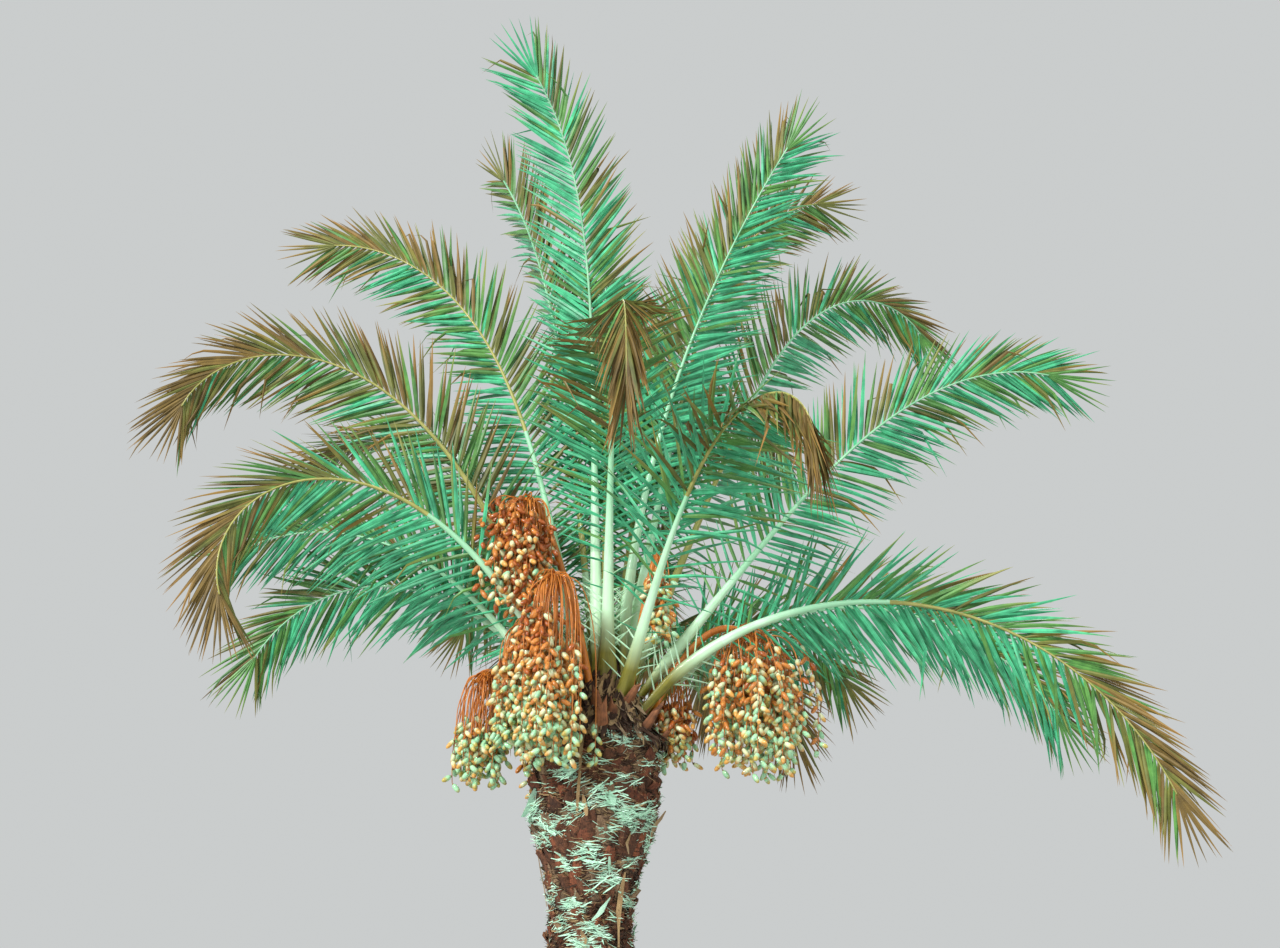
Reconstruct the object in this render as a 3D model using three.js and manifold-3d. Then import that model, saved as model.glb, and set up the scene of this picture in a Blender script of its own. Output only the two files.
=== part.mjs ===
// Date palm: a boot-clad trunk, a crown of pinnate fronds and hanging bunches of dates.
// Units are millimetres, +Z is up, and the origin is the middle of the trunk's flat foot.
import * as THREE from 'three';
import { ConvexGeometry } from 'three/addons/geometries/ConvexGeometry.js';
import { mergeVertices } from 'three/addons/utils/BufferGeometryUtils.js';
import Module from 'manifold-3d';

const wasm = await Module();
wasm.setup();

// ---- Driving dimensions ----

const GAP = 0.3; // clearance where one piece rests on another
const TRUNK_GAP = 0.5; // how far the space kept for the trunk stands out of it
const NEIGHBOUR_GAP = 3; // clearance between stalks that nest side by side
const LEAST_KEPT = 0.95; // share of a trimmed stalk that must hang together

// Trunk: [height, radius over the boots], from the root flare to the heart of the crown.
const TRUNK_PROFILE = [
  [0, 330],
  [150, 270],
  [400, 236],
  [1000, 216],
  [2540, 208],
  [2760, 202],
  [2920, 240],
  [3160, 314],
  [3520, 318],
  [3640, 268],
  [3760, 214],
  [3900, 150],
  [4020, 98],
  [4100, 55],
];
const BOOT_PITCH = 102; // height from one row of cut leaf bases to the next
const BOOT_ROWS = 35;
const BOOTS_AROUND = 11;
const BOOT_DEPTH = 42; // how far a boot stands out of the trunk
const BOOT_LIFT = 26; // how far a boot's cut end points upward
const BOOT_TWIST = 4; // degrees of turn from row to row
const BOOT_RAMP = 4; // rows over which the boots reach their full depth
const TRUNK_BOW = 74; // how far the trunk bows aside on its way up
const BOW_TOP = 3900; // height at which the bow ends
const BOW_SHAPE = 0.5; // below 1, the bow is flattened along its middle
const CROWN_BASE = 3600; // height at which the lowest living stalks leave the trunk

// Fronds
const SPINE_STEPS = 60;
const FOOT_RADIUS = 235; // distance of the lowest stalks' feet from the axis
const FOOT_INSET = 0.5; // how much nearer the axis a foot is, for each mm above the crown base
const STALK_HALF_WIDTH = 40;
const TIP_HALF_WIDTH = 4;
const STALK_THICKNESS = 40;
const TIP_THICKNESS = 12;
const WIDTH_TAPER = 2.7; // powers by which the rib narrows and thins towards its tip
const THICKNESS_TAPER = 2;
const LEAFLET_THICKNESS = 6;
const LEAFLET_LENGTH = 500;
const FIRST_LEAFLET = 0.2; // length of the first leaflets, as a part of the longest
const LEAFLET_GROWTH = 3.6; // how soon the leaflets reach their full length
const LEAFLET_LOSS = 0.26; // part of its length that the last leaflet lacks
const TERMINAL_LEAFLET = 0.75; // length of the leaflet that ends the frond, as a part of the longest
const LEAFLETS_PER_SIDE = 17;
const BARE_STALK = 0.13; // part of the frond's length that carries no leaflets
const LEAN_FOOT = 64; // degrees between rib and leaflet at the first leaflets
const LEAN_TIP = 28;
const LEAN_EASE = 0.75; // below 1, the lean falls soonest near the foot
const LEAN_SPREAD = 12; // degrees over which the leaflets' leans are scattered
const LEAFLET_SEEDS = 97; // keeps the scatter of one frond from repeating in the next
const LEAFLET_LIFT = 20; // degrees by which the two rows fold up into a V
const STALK_STATIONS = [0.25, 0.5, 0.75]; // where the bare stalk may bend
const DRAWN_RADIUS = 2000; // outlines are drawn along this arc, so no face spans two leaflets
const DRAWN_HALF_WIDTH = 1.2; // half width of the rib in a drawn outline
const LEAFLET_SAG = 0.12;
const LEAFLET_TRIM = [1, 0.8, 0.62, 0.45, 0.3]; // lengths tried where leaflets would touch
const PROBE_MARGIN = 2; // room kept around a leaflet
const FREE_PART = 0.16; // part of a leaflet that may lie against its own frond
const DRY_BELOW = -30; // a frond whose tip climbs less than this is an old, dry one

// Fruit
const PEDUNCLE_RADIUS = 17;
const PEDUNCLE_SIDES = 6;
const PEDUNCLE_STEPS = 7;
const PEDUNCLE_INSET = 20; // how much further in than a frond's foot a stalk starts
const ARCH_PLACE = 0.55; // where along its reach a stalk arches most
const ARCH_RISE = 0.35; // height of that arch over the stalk's end, as a part of its reach
const COLLAR_RADIUS = 24;
const STRAND_RADIUS = 8;
const ROD_SIDES = 3;
const STRANDS = 5;
const STRAND_ANGLE = 137.5; // degrees from each strand to the next, so that none lie in line
const SHOULDER_FALL = 0.45; // fall of a strand to its shoulder, as a part of how far out that is
const SHOULDER_DROP = 10;
const SHORTEST_STRAND = 0.72; // as a part of the length that the bunch hangs
const STRAND_TURNS = [0, 35, -35, 70]; // degrees aside, tried where a strand would touch
const DATES_PER_STRAND = 3;
const DATE_RADIUS = 27;
const DATE_HALF_LENGTH = 40;
const DATE_STEP = 0.24; // height between a strand's dates, as a part of its fall
const DATE_ASIDE = 14; // how far a date hangs beside its strand
const DATE_TILT = 50; // degrees over which the dates' tilts are scattered
const SEED_STEP = 31; // keeps the scatter of one bunch from repeating in the next

/**
 * One row per frond: bearing of the frond, height of its foot above the crown base, rise of
 * the rib at foot and tip in degrees, length, curl (how late it bends), roll at foot and tip
 * in degrees, limp (how far the last leaflets hang), and the leaflet at which an arching
 * frond is divided (0 leaves it whole).
 */
const FRONDS = {
  left_1: [169, 246, 78, 4, 3115, 3.1, -75, -75, 0, 12],
  left_2: [188, 180, 64, -67, 3060, 3.1, -70, -72, 0.1, 11],
  left_3: [204, 140, 55, -108, 2640, 2.3, -60, -95, 0.15, 9],
  left_4: [171, 54, 58, -21, 2150, 1.8, -70, -68, 0, 8],
  left_5: [162, 97, 53, -57, 2190, 1.7, -75, -60, 0, 9],
  left_6: [126, 115, 58, -38, 1590, 2.3, -30, -50, 0, 8],
  centre_1: [206, 360, 89, 57, 3260, 4.5, -62, -58, 0, 0],
  centre_2: [274, 300, 81, -107, 2840, 2.3, 0, -30, 0.3, 10],
  centre_3: [302, 147, 59, -86, 2350, 3.1, 30, 20, 0.7, 9],
  centre_4: [355, 310, 88, 59, 3040, 0.9, 70, 72, 0, 0],
  centre_5: [25, 284, 78, 18, 3240, 4.4, 85, 92, 0, 0],
  centre_6: [142, 320, 83, 58, 3050, 3.0, -50, -70, 0, 0],
  right_1: [30, 215, 66, -52, 3450, 5.5, 80, 75, 0.1, 13],
  right_2: [56, 200, 68, -20, 2650, 3.0, 50, 70, 0, 11],
  right_3: [0, 160, 51.5, -13, 2905, 3.9, 75, 68, 0, 0],
  right_4: [347, 90, 52, -68, 3100, 0.9, 70, 84, 0.1, 7],
  right_5: [15, 70, 54, -52, 2650, 1.1, 70, 64, 0, 7],
  right_6: [38, 70, 56, -40, 1700, 1.4, 50, 60, 0, 8],
  right_7: [45, 20, 52, -80, 1540, 1.9, 20, 40, 0.4, 0],
  back_1: [70, 260, 74, 10, 2700, 3.0, 0, 0, 0, 0],
  back_2: [92, 330, 80, 35, 2800, 3.0, 0, 0, 0, 0],
  back_3: [112, 170, 62, -50, 2700, 2.2, 0, 0, 0, 10],
  back_4: [84, 120, 58, -60, 2600, 2.0, 0, 0, 0.2, 9],
  back_5: [146, 190, 66, -30, 2800, 2.4, 0, 0, 0, 10],
  back_6: [72, 60, 52, -55, 2100, 1.8, 0, 0, 0, 0],
  back_7: [108, 50, 50, -50, 2100, 1.8, 0, 0, 0.2, 0],
};

/**
 * One row per bunch of dates: bearing, height of the stalk's foot above the crown base, reach
 * and height of the stalk's end, half width of the bunch and the length that hangs below.
 */
const BUNCHES = {
  left_high: [206, 250, 465, 4720, 165, 540],
  left_front: [240, 150, 500, 4260, 165, 880],
  left_low: [216, 60, 500, 4040, 120, 560],
  left_outer: [188, 20, 610, 3830, 130, 500],
  right_outer: [0, 30, 745, 4050, 240, 660],
  right_inner: [20, 20, 345, 3925, 110, 460],
  centre: [335, 170, 290, 4450, 55, 400],
  back: [122, 40, 520, 3900, 160, 560],
};

// ---- Materials ----

const paint = (color, roughness) => new THREE.MeshStandardMaterial({ color, roughness, metalness: 0 });
const BARK = paint(0x5b3a28, 0.95);
const GLAUCOUS_LEAF = paint(0x4c9468, 0.6);
const DRY_LEAF = paint(0x7d7840, 0.7);
const ORANGE_STALK = paint(0xc8702a, 0.55);
const DATE_SKIN = paint(0xc59a4a, 0.4);

// ---- Helpers ----

const rad = THREE.MathUtils.degToRad;
const { lerp, clamp } = THREE.MathUtils;

/** Repeatable number between 0 and 1 for any whole number. */
function noise(n) {
  const x = Math.sin(n * 127.1 + 311.7) * 43758.5453;
  return x - Math.floor(x);
}

/** Point at a distance from the axis along a bearing. */
function polar(bearing, distance, height) {
  return new THREE.Vector3(
    distance * Math.cos(rad(bearing)),
    distance * Math.sin(rad(bearing)),
    height,
  );
}

/** Turns a closed three.js geometry into a solid. */
function solidOf(source) {
  const bare = source.clone();
  bare.deleteAttribute('normal');
  bare.deleteAttribute('uv');
  const merged = mergeVertices(bare, 1e-3);
  const kept = [];
  const index = merged.index.array;
  for (let i = 0; i < index.length; i += 3) {
    const [a, b, c] = [index[i], index[i + 1], index[i + 2]];
    if (a !== b && b !== c && c !== a) {
      kept.push(a, b, c);
    }
  }
  return new wasm.Manifold(new wasm.Mesh({
    numProp: 3,
    vertProperties: merged.attributes.position.array,
    triVerts: new Uint32Array(kept),
  }));
}

/** Turns a solid back into a three.js geometry. */
function geometryOf(solid) {
  const mesh = solid.getMesh();
  const geometry = new THREE.BufferGeometry();
  const stride = mesh.numProp;
  const positions = new Float32Array(mesh.numVert * 3);
  for (let i = 0; i < mesh.numVert; i += 1) {
    positions.set(mesh.vertProperties.subarray(i * stride, i * stride + 3), i * 3);
  }
  geometry.setAttribute('position', new THREE.BufferAttribute(positions, 3));
  geometry.setIndex(new THREE.BufferAttribute(new Uint32Array(mesh.triVerts), 1));
  geometry.computeVertexNormals();
  return geometry;
}

/** The largest separate body of a solid. */
function largest(solid) {
  const bodies = solid.decompose();
  return bodies.reduce((best, body) => (body.volume() > best.volume() ? body : best));
}

/** A solid with the box around it, for quick tests against others, and what it belongs to. */
function obstacle(solid, owner = null) {
  const bounds = solid.boundingBox();
  const box = new THREE.Box3(new THREE.Vector3(...bounds.min), new THREE.Vector3(...bounds.max));
  return { solid, box, owner };
}

/** Whether a piece touches none of the obstacles. */
function isClear(piece, obstacles) {
  return obstacles.every(({ solid, box }) => (
    !box.intersectsBox(piece.box) || piece.solid.intersect(solid).isEmpty()
  ));
}

/** Cuts away what a piece shares with the obstacles and keeps its main body. */
function trimmed(solid, obstacles) {
  const piece = obstacle(solid);
  const near = obstacles.filter(({ box }) => box.intersectsBox(piece.box));
  const cut = near.reduce((rest, other) => rest.subtract(other.solid), solid);
  const body = largest(cut);
  if (body.volume() < LEAST_KEPT * cut.volume()) {
    throw new Error('a stalk is cut through by its neighbours');
  }
  return body;
}

// ---- Trunk ----

/** Radius of the trunk over its boots at a height. */
function trunkRadius(height) {
  const next = TRUNK_PROFILE.findIndex(([level]) => level > height);
  if (next < 1) {
    return TRUNK_PROFILE[TRUNK_PROFILE.length - 1][1];
  }
  const [[z0, r0], [z1, r1]] = [TRUNK_PROFILE[next - 1], TRUNK_PROFILE[next]];
  return lerp(r0, r1, (height - z0) / (z1 - z0));
}

/** Lathed trunk whose rows of boots stand out in a staggered, slowly turning lattice. */
function trunkGeometry(grow) {
  const bootTop = BOOT_PITCH * BOOT_ROWS;
  const rings = [];
  for (let row = 0; row <= BOOT_ROWS; row += 1) {
    rings.push({ height: row * BOOT_PITCH, row });
  }
  for (const [height] of TRUNK_PROFILE.filter(([level]) => level > bootTop)) {
    rings.push({ height, row: 0 });
  }
  const crown = TRUNK_PROFILE[TRUNK_PROFILE.length - 1][0];
  const profile = rings.map(({ height }) => new THREE.Vector2(trunkRadius(height) + grow, height));
  profile.unshift(new THREE.Vector2(0, 0));
  profile.push(new THREE.Vector2(0, crown + grow));

  const sides = 2 * BOOTS_AROUND;
  const geometry = new THREE.LatheGeometry(profile, sides);
  const position = geometry.attributes.position;
  for (let i = 0; i < position.count; i += 1) {
    const ring = (i % profile.length) - 1;
    const side = Math.floor(i / profile.length) % sides;
    const { height = 0, row = 0 } = rings[ring] ?? {};
    const radius = profile[ring + 1].x;
    const isBoot = (ring + side) % 2 === 0;
    const depth = row > 0 ? BOOT_DEPTH * clamp(row / BOOT_RAMP, 0, 1) : 0;
    const out = radius - (isBoot ? 0 : depth);
    const lift = row > 0 && isBoot ? BOOT_LIFT : 0;
    const turn = (2 * Math.PI * side) / sides + rad(BOOT_TWIST * ring);
    const bow = TRUNK_BOW * Math.sin(Math.PI * clamp(height / BOW_TOP, 0, 1)) ** BOW_SHAPE;
    position.setXYZ(
      i,
      out * Math.cos(turn) - bow,
      out * Math.sin(turn),
      profile[ring + 1].y + lift,
    );
  }
  return geometry;
}

// ---- Fronds ----

/** Named sizes of a frond from its row in the table. */
function frondSizes(row, number) {
  const [bearing, foot, rise, tipRise, length, curl, roll, tipRoll, limp, division] = row;
  const bare = length * BARE_STALK;
  const pitch = (length - bare) / LEAFLETS_PER_SIDE;
  const shape = { bearing, foot, rise, tipRise, length, curl, roll, tipRoll, limp };
  return { ...shape, division, bare, pitch, number };
}

/** Returns a function that gives the rib's point and axes at a station along the frond. */
function ribOf(frond) {
  const heading = (part) => {
    const climb = rad(lerp(frond.rise, frond.tipRise, part ** frond.curl));
    return polar(frond.bearing, Math.cos(climb), Math.sin(climb));
  };
  const inset = FOOT_RADIUS - FOOT_INSET * frond.foot;
  const points = [polar(frond.bearing, inset, CROWN_BASE + frond.foot)];
  const step = frond.length / SPINE_STEPS;
  for (let i = 0; i < SPINE_STEPS; i += 1) {
    points.push(points[i].clone().addScaledVector(heading((i + 0.5) / SPINE_STEPS), step));
  }
  const across = polar(frond.bearing - 90, 1, 0);
  return (station) => {
    const part = clamp(station / frond.length, 0, 1);
    const i = Math.min(Math.floor(part * SPINE_STEPS), SPINE_STEPS - 1);
    const along = heading(part);
    const point = points[i].clone().lerp(points[i + 1], part * SPINE_STEPS - i);
    point.addScaledVector(along, station - part * frond.length);
    const up = across.clone().cross(along);
    const turn = rad(lerp(frond.roll, frond.tipRoll, part));
    const side = across.clone().multiplyScalar(Math.cos(turn)).addScaledVector(up, Math.sin(turn));
    const face = up.multiplyScalar(Math.cos(turn)).addScaledVector(across, -Math.sin(turn));
    return { point, along, side, face };
  };
}

/** Half the rib's width at a station; it narrows quickly, then evenly. */
function ribHalfWidth(frond, station) {
  const rest = 1 - clamp(station / frond.length, 0, 1);
  return TIP_HALF_WIDTH + (STALK_HALF_WIDTH - TIP_HALF_WIDTH) * rest ** WIDTH_TAPER;
}

/** The rib's thickness at a station. */
function ribThickness(frond, station) {
  const rest = 1 - clamp(station / frond.length, 0, 1);
  return TIP_THICKNESS + (STALK_THICKNESS - TIP_THICKNESS) * rest ** THICKNESS_TAPER;
}

/** Full length of a leaflet: short spines first, the longest at a quarter, shorter at the tip. */
function leafletLength(part) {
  const grown = Math.min(1, FIRST_LEAFLET + LEAFLET_GROWTH * part);
  return LEAFLET_LENGTH * grown * (1 - LEAFLET_LOSS * part ** 3);
}

/** Direction of a leaflet that leaves the rib at a station, on side 1 or -1. */
function leafletHeading(frond, rib, station, side) {
  const part = clamp((station - frond.bare) / (frond.length - frond.bare), 0, 1);
  const order = Math.round((station - frond.bare) / frond.pitch - 0.5);
  const seed = frond.number * LEAFLET_SEEDS + order * 2 + side;
  const lean = rad(lerp(LEAN_FOOT, LEAN_TIP, part ** LEAN_EASE) + LEAN_SPREAD * (noise(seed) - 0.5));
  const { along, side: across, face } = rib(station);
  const heading = along.multiplyScalar(Math.cos(lean));
  heading.addScaledVector(across, side * Math.cos(rad(LEAFLET_LIFT)) * Math.sin(lean));
  heading.addScaledVector(face, Math.sin(rad(LEAFLET_LIFT)) * Math.sin(lean));
  heading.z -= LEAFLET_SAG + frond.limp * part ** 2;
  return heading.normalize();
}

/** Point of a leaflet's tip. */
function leafletTip(frond, rib, station, side, length) {
  const { point, side: across } = rib(station);
  point.addScaledVector(across, side * ribHalfWidth(frond, station));
  return point.addScaledVector(leafletHeading(frond, rib, station, side), length);
}

/** A leaflet from part of its length to its tip, a little enlarged, to find what it would touch. */
function leafletProbe(frond, rib, order, side, length, from = 0) {
  const notch = frond.bare + order * frond.pitch;
  const middle = notch + frond.pitch / 2;
  const tip = leafletTip(frond, rib, middle, side, length);
  const { face } = rib(middle);
  const tipHalf = LEAFLET_THICKNESS / 2 + PROBE_MARGIN;
  const rootHalf = lerp(ribThickness(frond, notch) / 2 + PROBE_MARGIN, tipHalf, from);
  const corners = [notch, notch + frond.pitch].map((station) => {
    const { point, side: across } = rib(station);
    return point.addScaledVector(across, side * ribHalfWidth(frond, station)).lerp(tip, from);
  });
  const reach = tip.clone().sub(corners[0]).setLength(2 * PROBE_MARGIN);
  corners.push(tip.add(reach));
  const points = corners.flatMap((corner, i) => {
    const half = i < 2 ? rootHalf : tipHalf;
    return [corner.clone().addScaledVector(face, half), corner.clone().addScaledVector(face, -half)];
  });
  return obstacle(solidOf(new ConvexGeometry(points)), frond);
}

/** Lengths of one frond's leaflets, shortened or left out where they would touch something. */
function fitLeaflets(frond, rib, obstacles) {
  const lengths = { 1: [], '-1': [] };
  for (let order = 0; order < LEAFLETS_PER_SIDE; order += 1) {
    for (const side of [1, -1]) {
      const full = leafletLength((order + 0.5) / LEAFLETS_PER_SIDE);
      const own = obstacles.filter(({ owner }) => owner === frond);
      const others = obstacles.filter(({ owner }) => owner !== frond);
      const trim = LEAFLET_TRIM.find((part) => (
        isClear(leafletProbe(frond, rib, order, side, full * part), others)
        && isClear(leafletProbe(frond, rib, order, side, full * part, FREE_PART), own)
      )) ?? 0;
      if (trim > 0) {
        obstacles.push(leafletProbe(frond, rib, order, side, full * trim));
      }
      lengths[side].push(full * trim);
    }
  }
  return lengths;
}

/** Where a station and a distance across the rib are drawn: along an arc, not a straight line. */
function drawn(station, across) {
  const turn = station / DRAWN_RADIUS;
  const radius = DRAWN_RADIUS + across;
  return new THREE.Vector2(radius * Math.cos(turn), radius * Math.sin(turn));
}

/** Outline of part of a frond, cut to the rib between its leaflets. */
function frondShape(frond, start, end, lengths) {
  const edge = (side) => {
    const points = [];
    const place = (station, extra = 0) => {
      points.push(drawn(station, side * (DRAWN_HALF_WIDTH + extra)));
    };
    const stalk = STALK_STATIONS.map((part) => part * frond.bare);
    place(start);
    stalk.filter((station) => station > start && station < end).forEach((station) => place(station));
    for (let order = 0; order <= LEAFLETS_PER_SIDE; order += 1) {
      const notch = frond.bare + order * frond.pitch;
      const middle = notch + frond.pitch / 2;
      if (notch > start + 1 && notch < end - 1) {
        place(notch);
      }
      const length = lengths?.[side][order] ?? 0;
      if (middle > start && middle < end && length > 0) {
        place(middle, length);
      }
    }
    if (end < frond.length) {
      place(end);
    }
    return points;
  };
  const outline = edge(-1);
  if (end > frond.length) {
    outline.push(drawn(end, 0));
  }
  outline.push(...edge(1).reverse());
  return new THREE.Shape(outline);
}

/** Solid part of a frond: the outline as a sheet, bent along the rib, leaflets turned outward. */
function frondSolid(frond, rib, start, end, lengths, grow = 0) {
  const geometry = new THREE.ExtrudeGeometry(frondShape(frond, start, end, lengths), {
    depth: 1,
    steps: 1,
    bevelEnabled: false,
  });
  const position = geometry.attributes.position;
  for (let i = 0; i < position.count; i += 1) {
    const [x, y] = [position.getX(i), position.getY(i)];
    const station = Math.atan2(y, x) * DRAWN_RADIUS;
    const across = Math.hypot(x, y) - DRAWN_RADIUS;
    const extra = Math.abs(across) - DRAWN_HALF_WIDTH;
    const { point, side, face } = rib(station);
    let thickness = LEAFLET_THICKNESS;
    if (extra > 1) {
      point.copy(leafletTip(frond, rib, station, Math.sign(across), extra));
    } else if (station < frond.length + 1) {
      thickness = ribThickness(frond, station);
      point.addScaledVector(side, Math.sign(across) * (ribHalfWidth(frond, station) + grow));
    }
    point.addScaledVector(face, (position.getZ(i) - 0.5) * (thickness + 2 * grow));
    position.setXYZ(i, point.x, point.y, point.z);
  }
  return solidOf(geometry);
}

// ---- Fruit ----

/** Arched stalk of a bunch, as a curve from the heart of the crown to where its strands start. */
function peduncleCurve({ bearing, foot, reach, top }) {
  const inset = FOOT_RADIUS - FOOT_INSET * foot - PEDUNCLE_INSET;
  const start = polar(bearing, inset, CROWN_BASE + foot);
  const end = polar(bearing, reach, top);
  const bend = polar(bearing, lerp(FOOT_RADIUS, reach, ARCH_PLACE), top + ARCH_RISE * reach);
  return new THREE.QuadraticBezierCurve3(start, bend, end);
}

/** Tube along the stalk's curve. */
function peduncleGeometry(curve) {
  const section = new THREE.Shape();
  for (let i = 0; i < PEDUNCLE_SIDES; i += 1) {
    const turn = (2 * Math.PI * i) / PEDUNCLE_SIDES;
    const [x, y] = [PEDUNCLE_RADIUS * Math.cos(turn), PEDUNCLE_RADIUS * Math.sin(turn)];
    if (i === 0) {
      section.moveTo(x, y);
    } else {
      section.lineTo(x, y);
    }
  }
  return new THREE.ExtrudeGeometry(section, { steps: PEDUNCLE_STEPS, extrudePath: curve });
}

/** Rod between two points, a little longer than the distance between them. */
function rod(from, to, radius) {
  const reach = to.clone().sub(from);
  const geometry = new THREE.CylinderGeometry(radius, radius, reach.length() + radius, ROD_SIDES);
  const turn = new THREE.Quaternion().setFromUnitVectors(
    new THREE.Vector3(0, 1, 0),
    reach.normalize(),
  );
  geometry.applyQuaternion(turn);
  geometry.translate((from.x + to.x) / 2, (from.y + to.y) / 2, (from.z + to.z) / 2);
  return solidOf(geometry);
}

/** One strand that leaves the collar, bends over its shoulder and hangs with dates on it. */
function strandSolid(collar, { spread, drop }, number, seed, aside) {
  const turn = number * STRAND_ANGLE + aside;
  const out = spread * Math.sqrt((number + 0.5) / STRANDS);
  const shoulder = collar.clone().add(polar(turn, out, -SHOULDER_FALL * out - SHOULDER_DROP));
  const share = lerp(SHORTEST_STRAND, 1, noise(seed + number));
  const fall = drop * share + shoulder.z - collar.z;
  const end = shoulder.clone().setZ(shoulder.z - fall);
  let strand = rod(collar, shoulder, STRAND_RADIUS).add(rod(shoulder, end, STRAND_RADIUS));
  for (let i = 0; i < DATES_PER_STRAND; i += 1) {
    const date = new THREE.OctahedronGeometry(1, 0);
    date.scale(DATE_RADIUS, DATE_RADIUS, DATE_HALF_LENGTH);
    date.rotateX(rad(DATE_TILT * (noise(seed + number * 7 + i) - 0.5)));
    date.rotateZ(rad(360 * noise(seed + number * 5 + i)));
    const height = end.z + fall * DATE_STEP * i;
    const offset = polar(360 * noise(seed + number * 3 + i), DATE_ASIDE, height);
    date.translate(end.x + offset.x, end.y + offset.y, offset.z);
    strand = strand.add(solidOf(date));
  }
  return strand;
}

/** The strands of one bunch, joined at their collar; a strand that would touch is left out. */
function bunchSolid(sizes, curve, obstacles, seed) {
  const along = curve.getTangent(1);
  const collar = curve.getPoint(1).addScaledVector(along, COLLAR_RADIUS + GAP);
  const knob = new THREE.OctahedronGeometry(COLLAR_RADIUS, 0);
  knob.applyQuaternion(new THREE.Quaternion().setFromUnitVectors(new THREE.Vector3(0, 0, 1), along));
  knob.translate(collar.x, collar.y, collar.z);
  let solid = solidOf(knob);
  for (let number = 0; number < STRANDS; number += 1) {
    const choices = STRAND_TURNS.map((aside) => strandSolid(collar, sizes, number, seed, aside));
    const strand = choices.find((choice) => isClear(obstacle(choice), obstacles));
    if (strand) {
      solid = solid.add(strand);
    }
  }
  return solid;
}

// ---- Assembly ----

const group = new THREE.Group();

/** Adds a solid to the palm as a named mesh. */
function addMesh(name, solid, material) {
  const mesh = new THREE.Mesh(geometryOf(solid), material);
  mesh.name = name;
  group.add(mesh);
}

addMesh('trunk', solidOf(trunkGeometry(0)), BARK);
const trunkSpace = obstacle(solidOf(trunkGeometry(TRUNK_GAP)));

// Stalks and ribs first: each is trimmed to what stands before it, so that their bases nest.
const fronds = Object.entries(FRONDS).map(([name, row], number) => {
  const frond = frondSizes(row, number);
  return { name, frond, rib: ribOf(frond) };
});
const ribSpaces = [];
for (const entry of fronds) {
  const { frond, rib } = entry;
  entry.before = [...ribSpaces];
  entry.ribSpace = obstacle(frondSolid(frond, rib, 0, frond.length, null, NEIGHBOUR_GAP), frond);
  ribSpaces.push(entry.ribSpace);
}

const obstacles = [trunkSpace, ...ribSpaces];
Object.entries(BUNCHES).forEach(([name, row], number) => {
  const [bearing, foot, reach, top, spread, drop] = row;
  const sizes = { bearing, foot, reach, top, spread, drop };
  const curve = peduncleCurve(sizes);
  const stalk = trimmed(solidOf(peduncleGeometry(curve)), [trunkSpace, ...ribSpaces]);
  const fruit = bunchSolid(sizes, curve, [...obstacles, obstacle(stalk)], number * SEED_STEP);
  addMesh(`bunch_${name}_stalk`, stalk, ORANGE_STALK);
  addMesh(`bunch_${name}_dates`, fruit, DATE_SKIN);
  obstacles.push(obstacle(stalk), obstacle(fruit));
});

for (const { name, frond, rib, before } of fronds) {
  const lengths = fitLeaflets(frond, rib, obstacles);
  const tip = frond.length + TERMINAL_LEAFLET * LEAFLET_LENGTH;
  const material = frond.tipRise < DRY_BELOW ? DRY_LEAF : GLAUCOUS_LEAF;
  const cutters = [trunkSpace, ...before];
  if (frond.division > 0) {
    const bend = frond.bare + frond.division * frond.pitch;
    const inner = frondSolid(frond, rib, 0, bend - GAP / 2, lengths);
    addMesh(`frond_${name}_inner`, trimmed(inner, cutters), material);
    addMesh(`frond_${name}_outer`, frondSolid(frond, rib, bend + GAP / 2, tip, lengths), material);
  } else {
    const whole = frondSolid(frond, rib, 0, tip, lengths);
    addMesh(`frond_${name}`, trimmed(whole, cutters), material);
  }
}

export default group;
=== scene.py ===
"""A date palm in fruit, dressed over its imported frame: boot-clad trunk, feathered crown, bunches of dates."""

import logging
import math
from dataclasses import dataclass, field
from enum import Enum

import bpy
import numpy as np
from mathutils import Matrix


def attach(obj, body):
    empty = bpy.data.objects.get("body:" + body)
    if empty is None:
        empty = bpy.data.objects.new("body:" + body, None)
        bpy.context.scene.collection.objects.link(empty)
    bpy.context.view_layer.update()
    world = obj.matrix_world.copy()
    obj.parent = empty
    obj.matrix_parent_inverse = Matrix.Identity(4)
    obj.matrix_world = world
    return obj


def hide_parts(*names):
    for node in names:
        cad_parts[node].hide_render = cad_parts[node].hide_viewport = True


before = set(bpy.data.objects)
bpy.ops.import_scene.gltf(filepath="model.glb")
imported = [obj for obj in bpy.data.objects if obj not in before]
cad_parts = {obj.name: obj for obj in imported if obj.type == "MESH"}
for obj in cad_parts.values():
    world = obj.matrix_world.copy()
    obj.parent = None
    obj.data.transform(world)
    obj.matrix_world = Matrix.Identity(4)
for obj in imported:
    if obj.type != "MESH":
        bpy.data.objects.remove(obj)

Array = np.ndarray
Node = bpy.types.Node
Tree = bpy.types.NodeTree

LOG = logging.getLogger("date_palm")
MM = 0.001  # the classes work in millimetres, as the solids do, and the meshes are in metres
UP = np.array([0.0, 0.0, 1.0])
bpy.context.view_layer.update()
GOLDEN_TURN = 137.5  # degrees between a palm's organs in the order they grow


# ---- Small helpers ----


def lerp(a: float, b: float, part: Array | float) -> Array | float:
    """Value between a and b."""
    return a + (b - a) * part


def noise(n: Array | float) -> Array | float:
    """Repeatable number between 0 and 1 for any whole number, the same as the solids use."""
    x = np.sin(np.asarray(n) * 127.1 + 311.7) * 43758.5453
    return x - np.floor(x)


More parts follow.
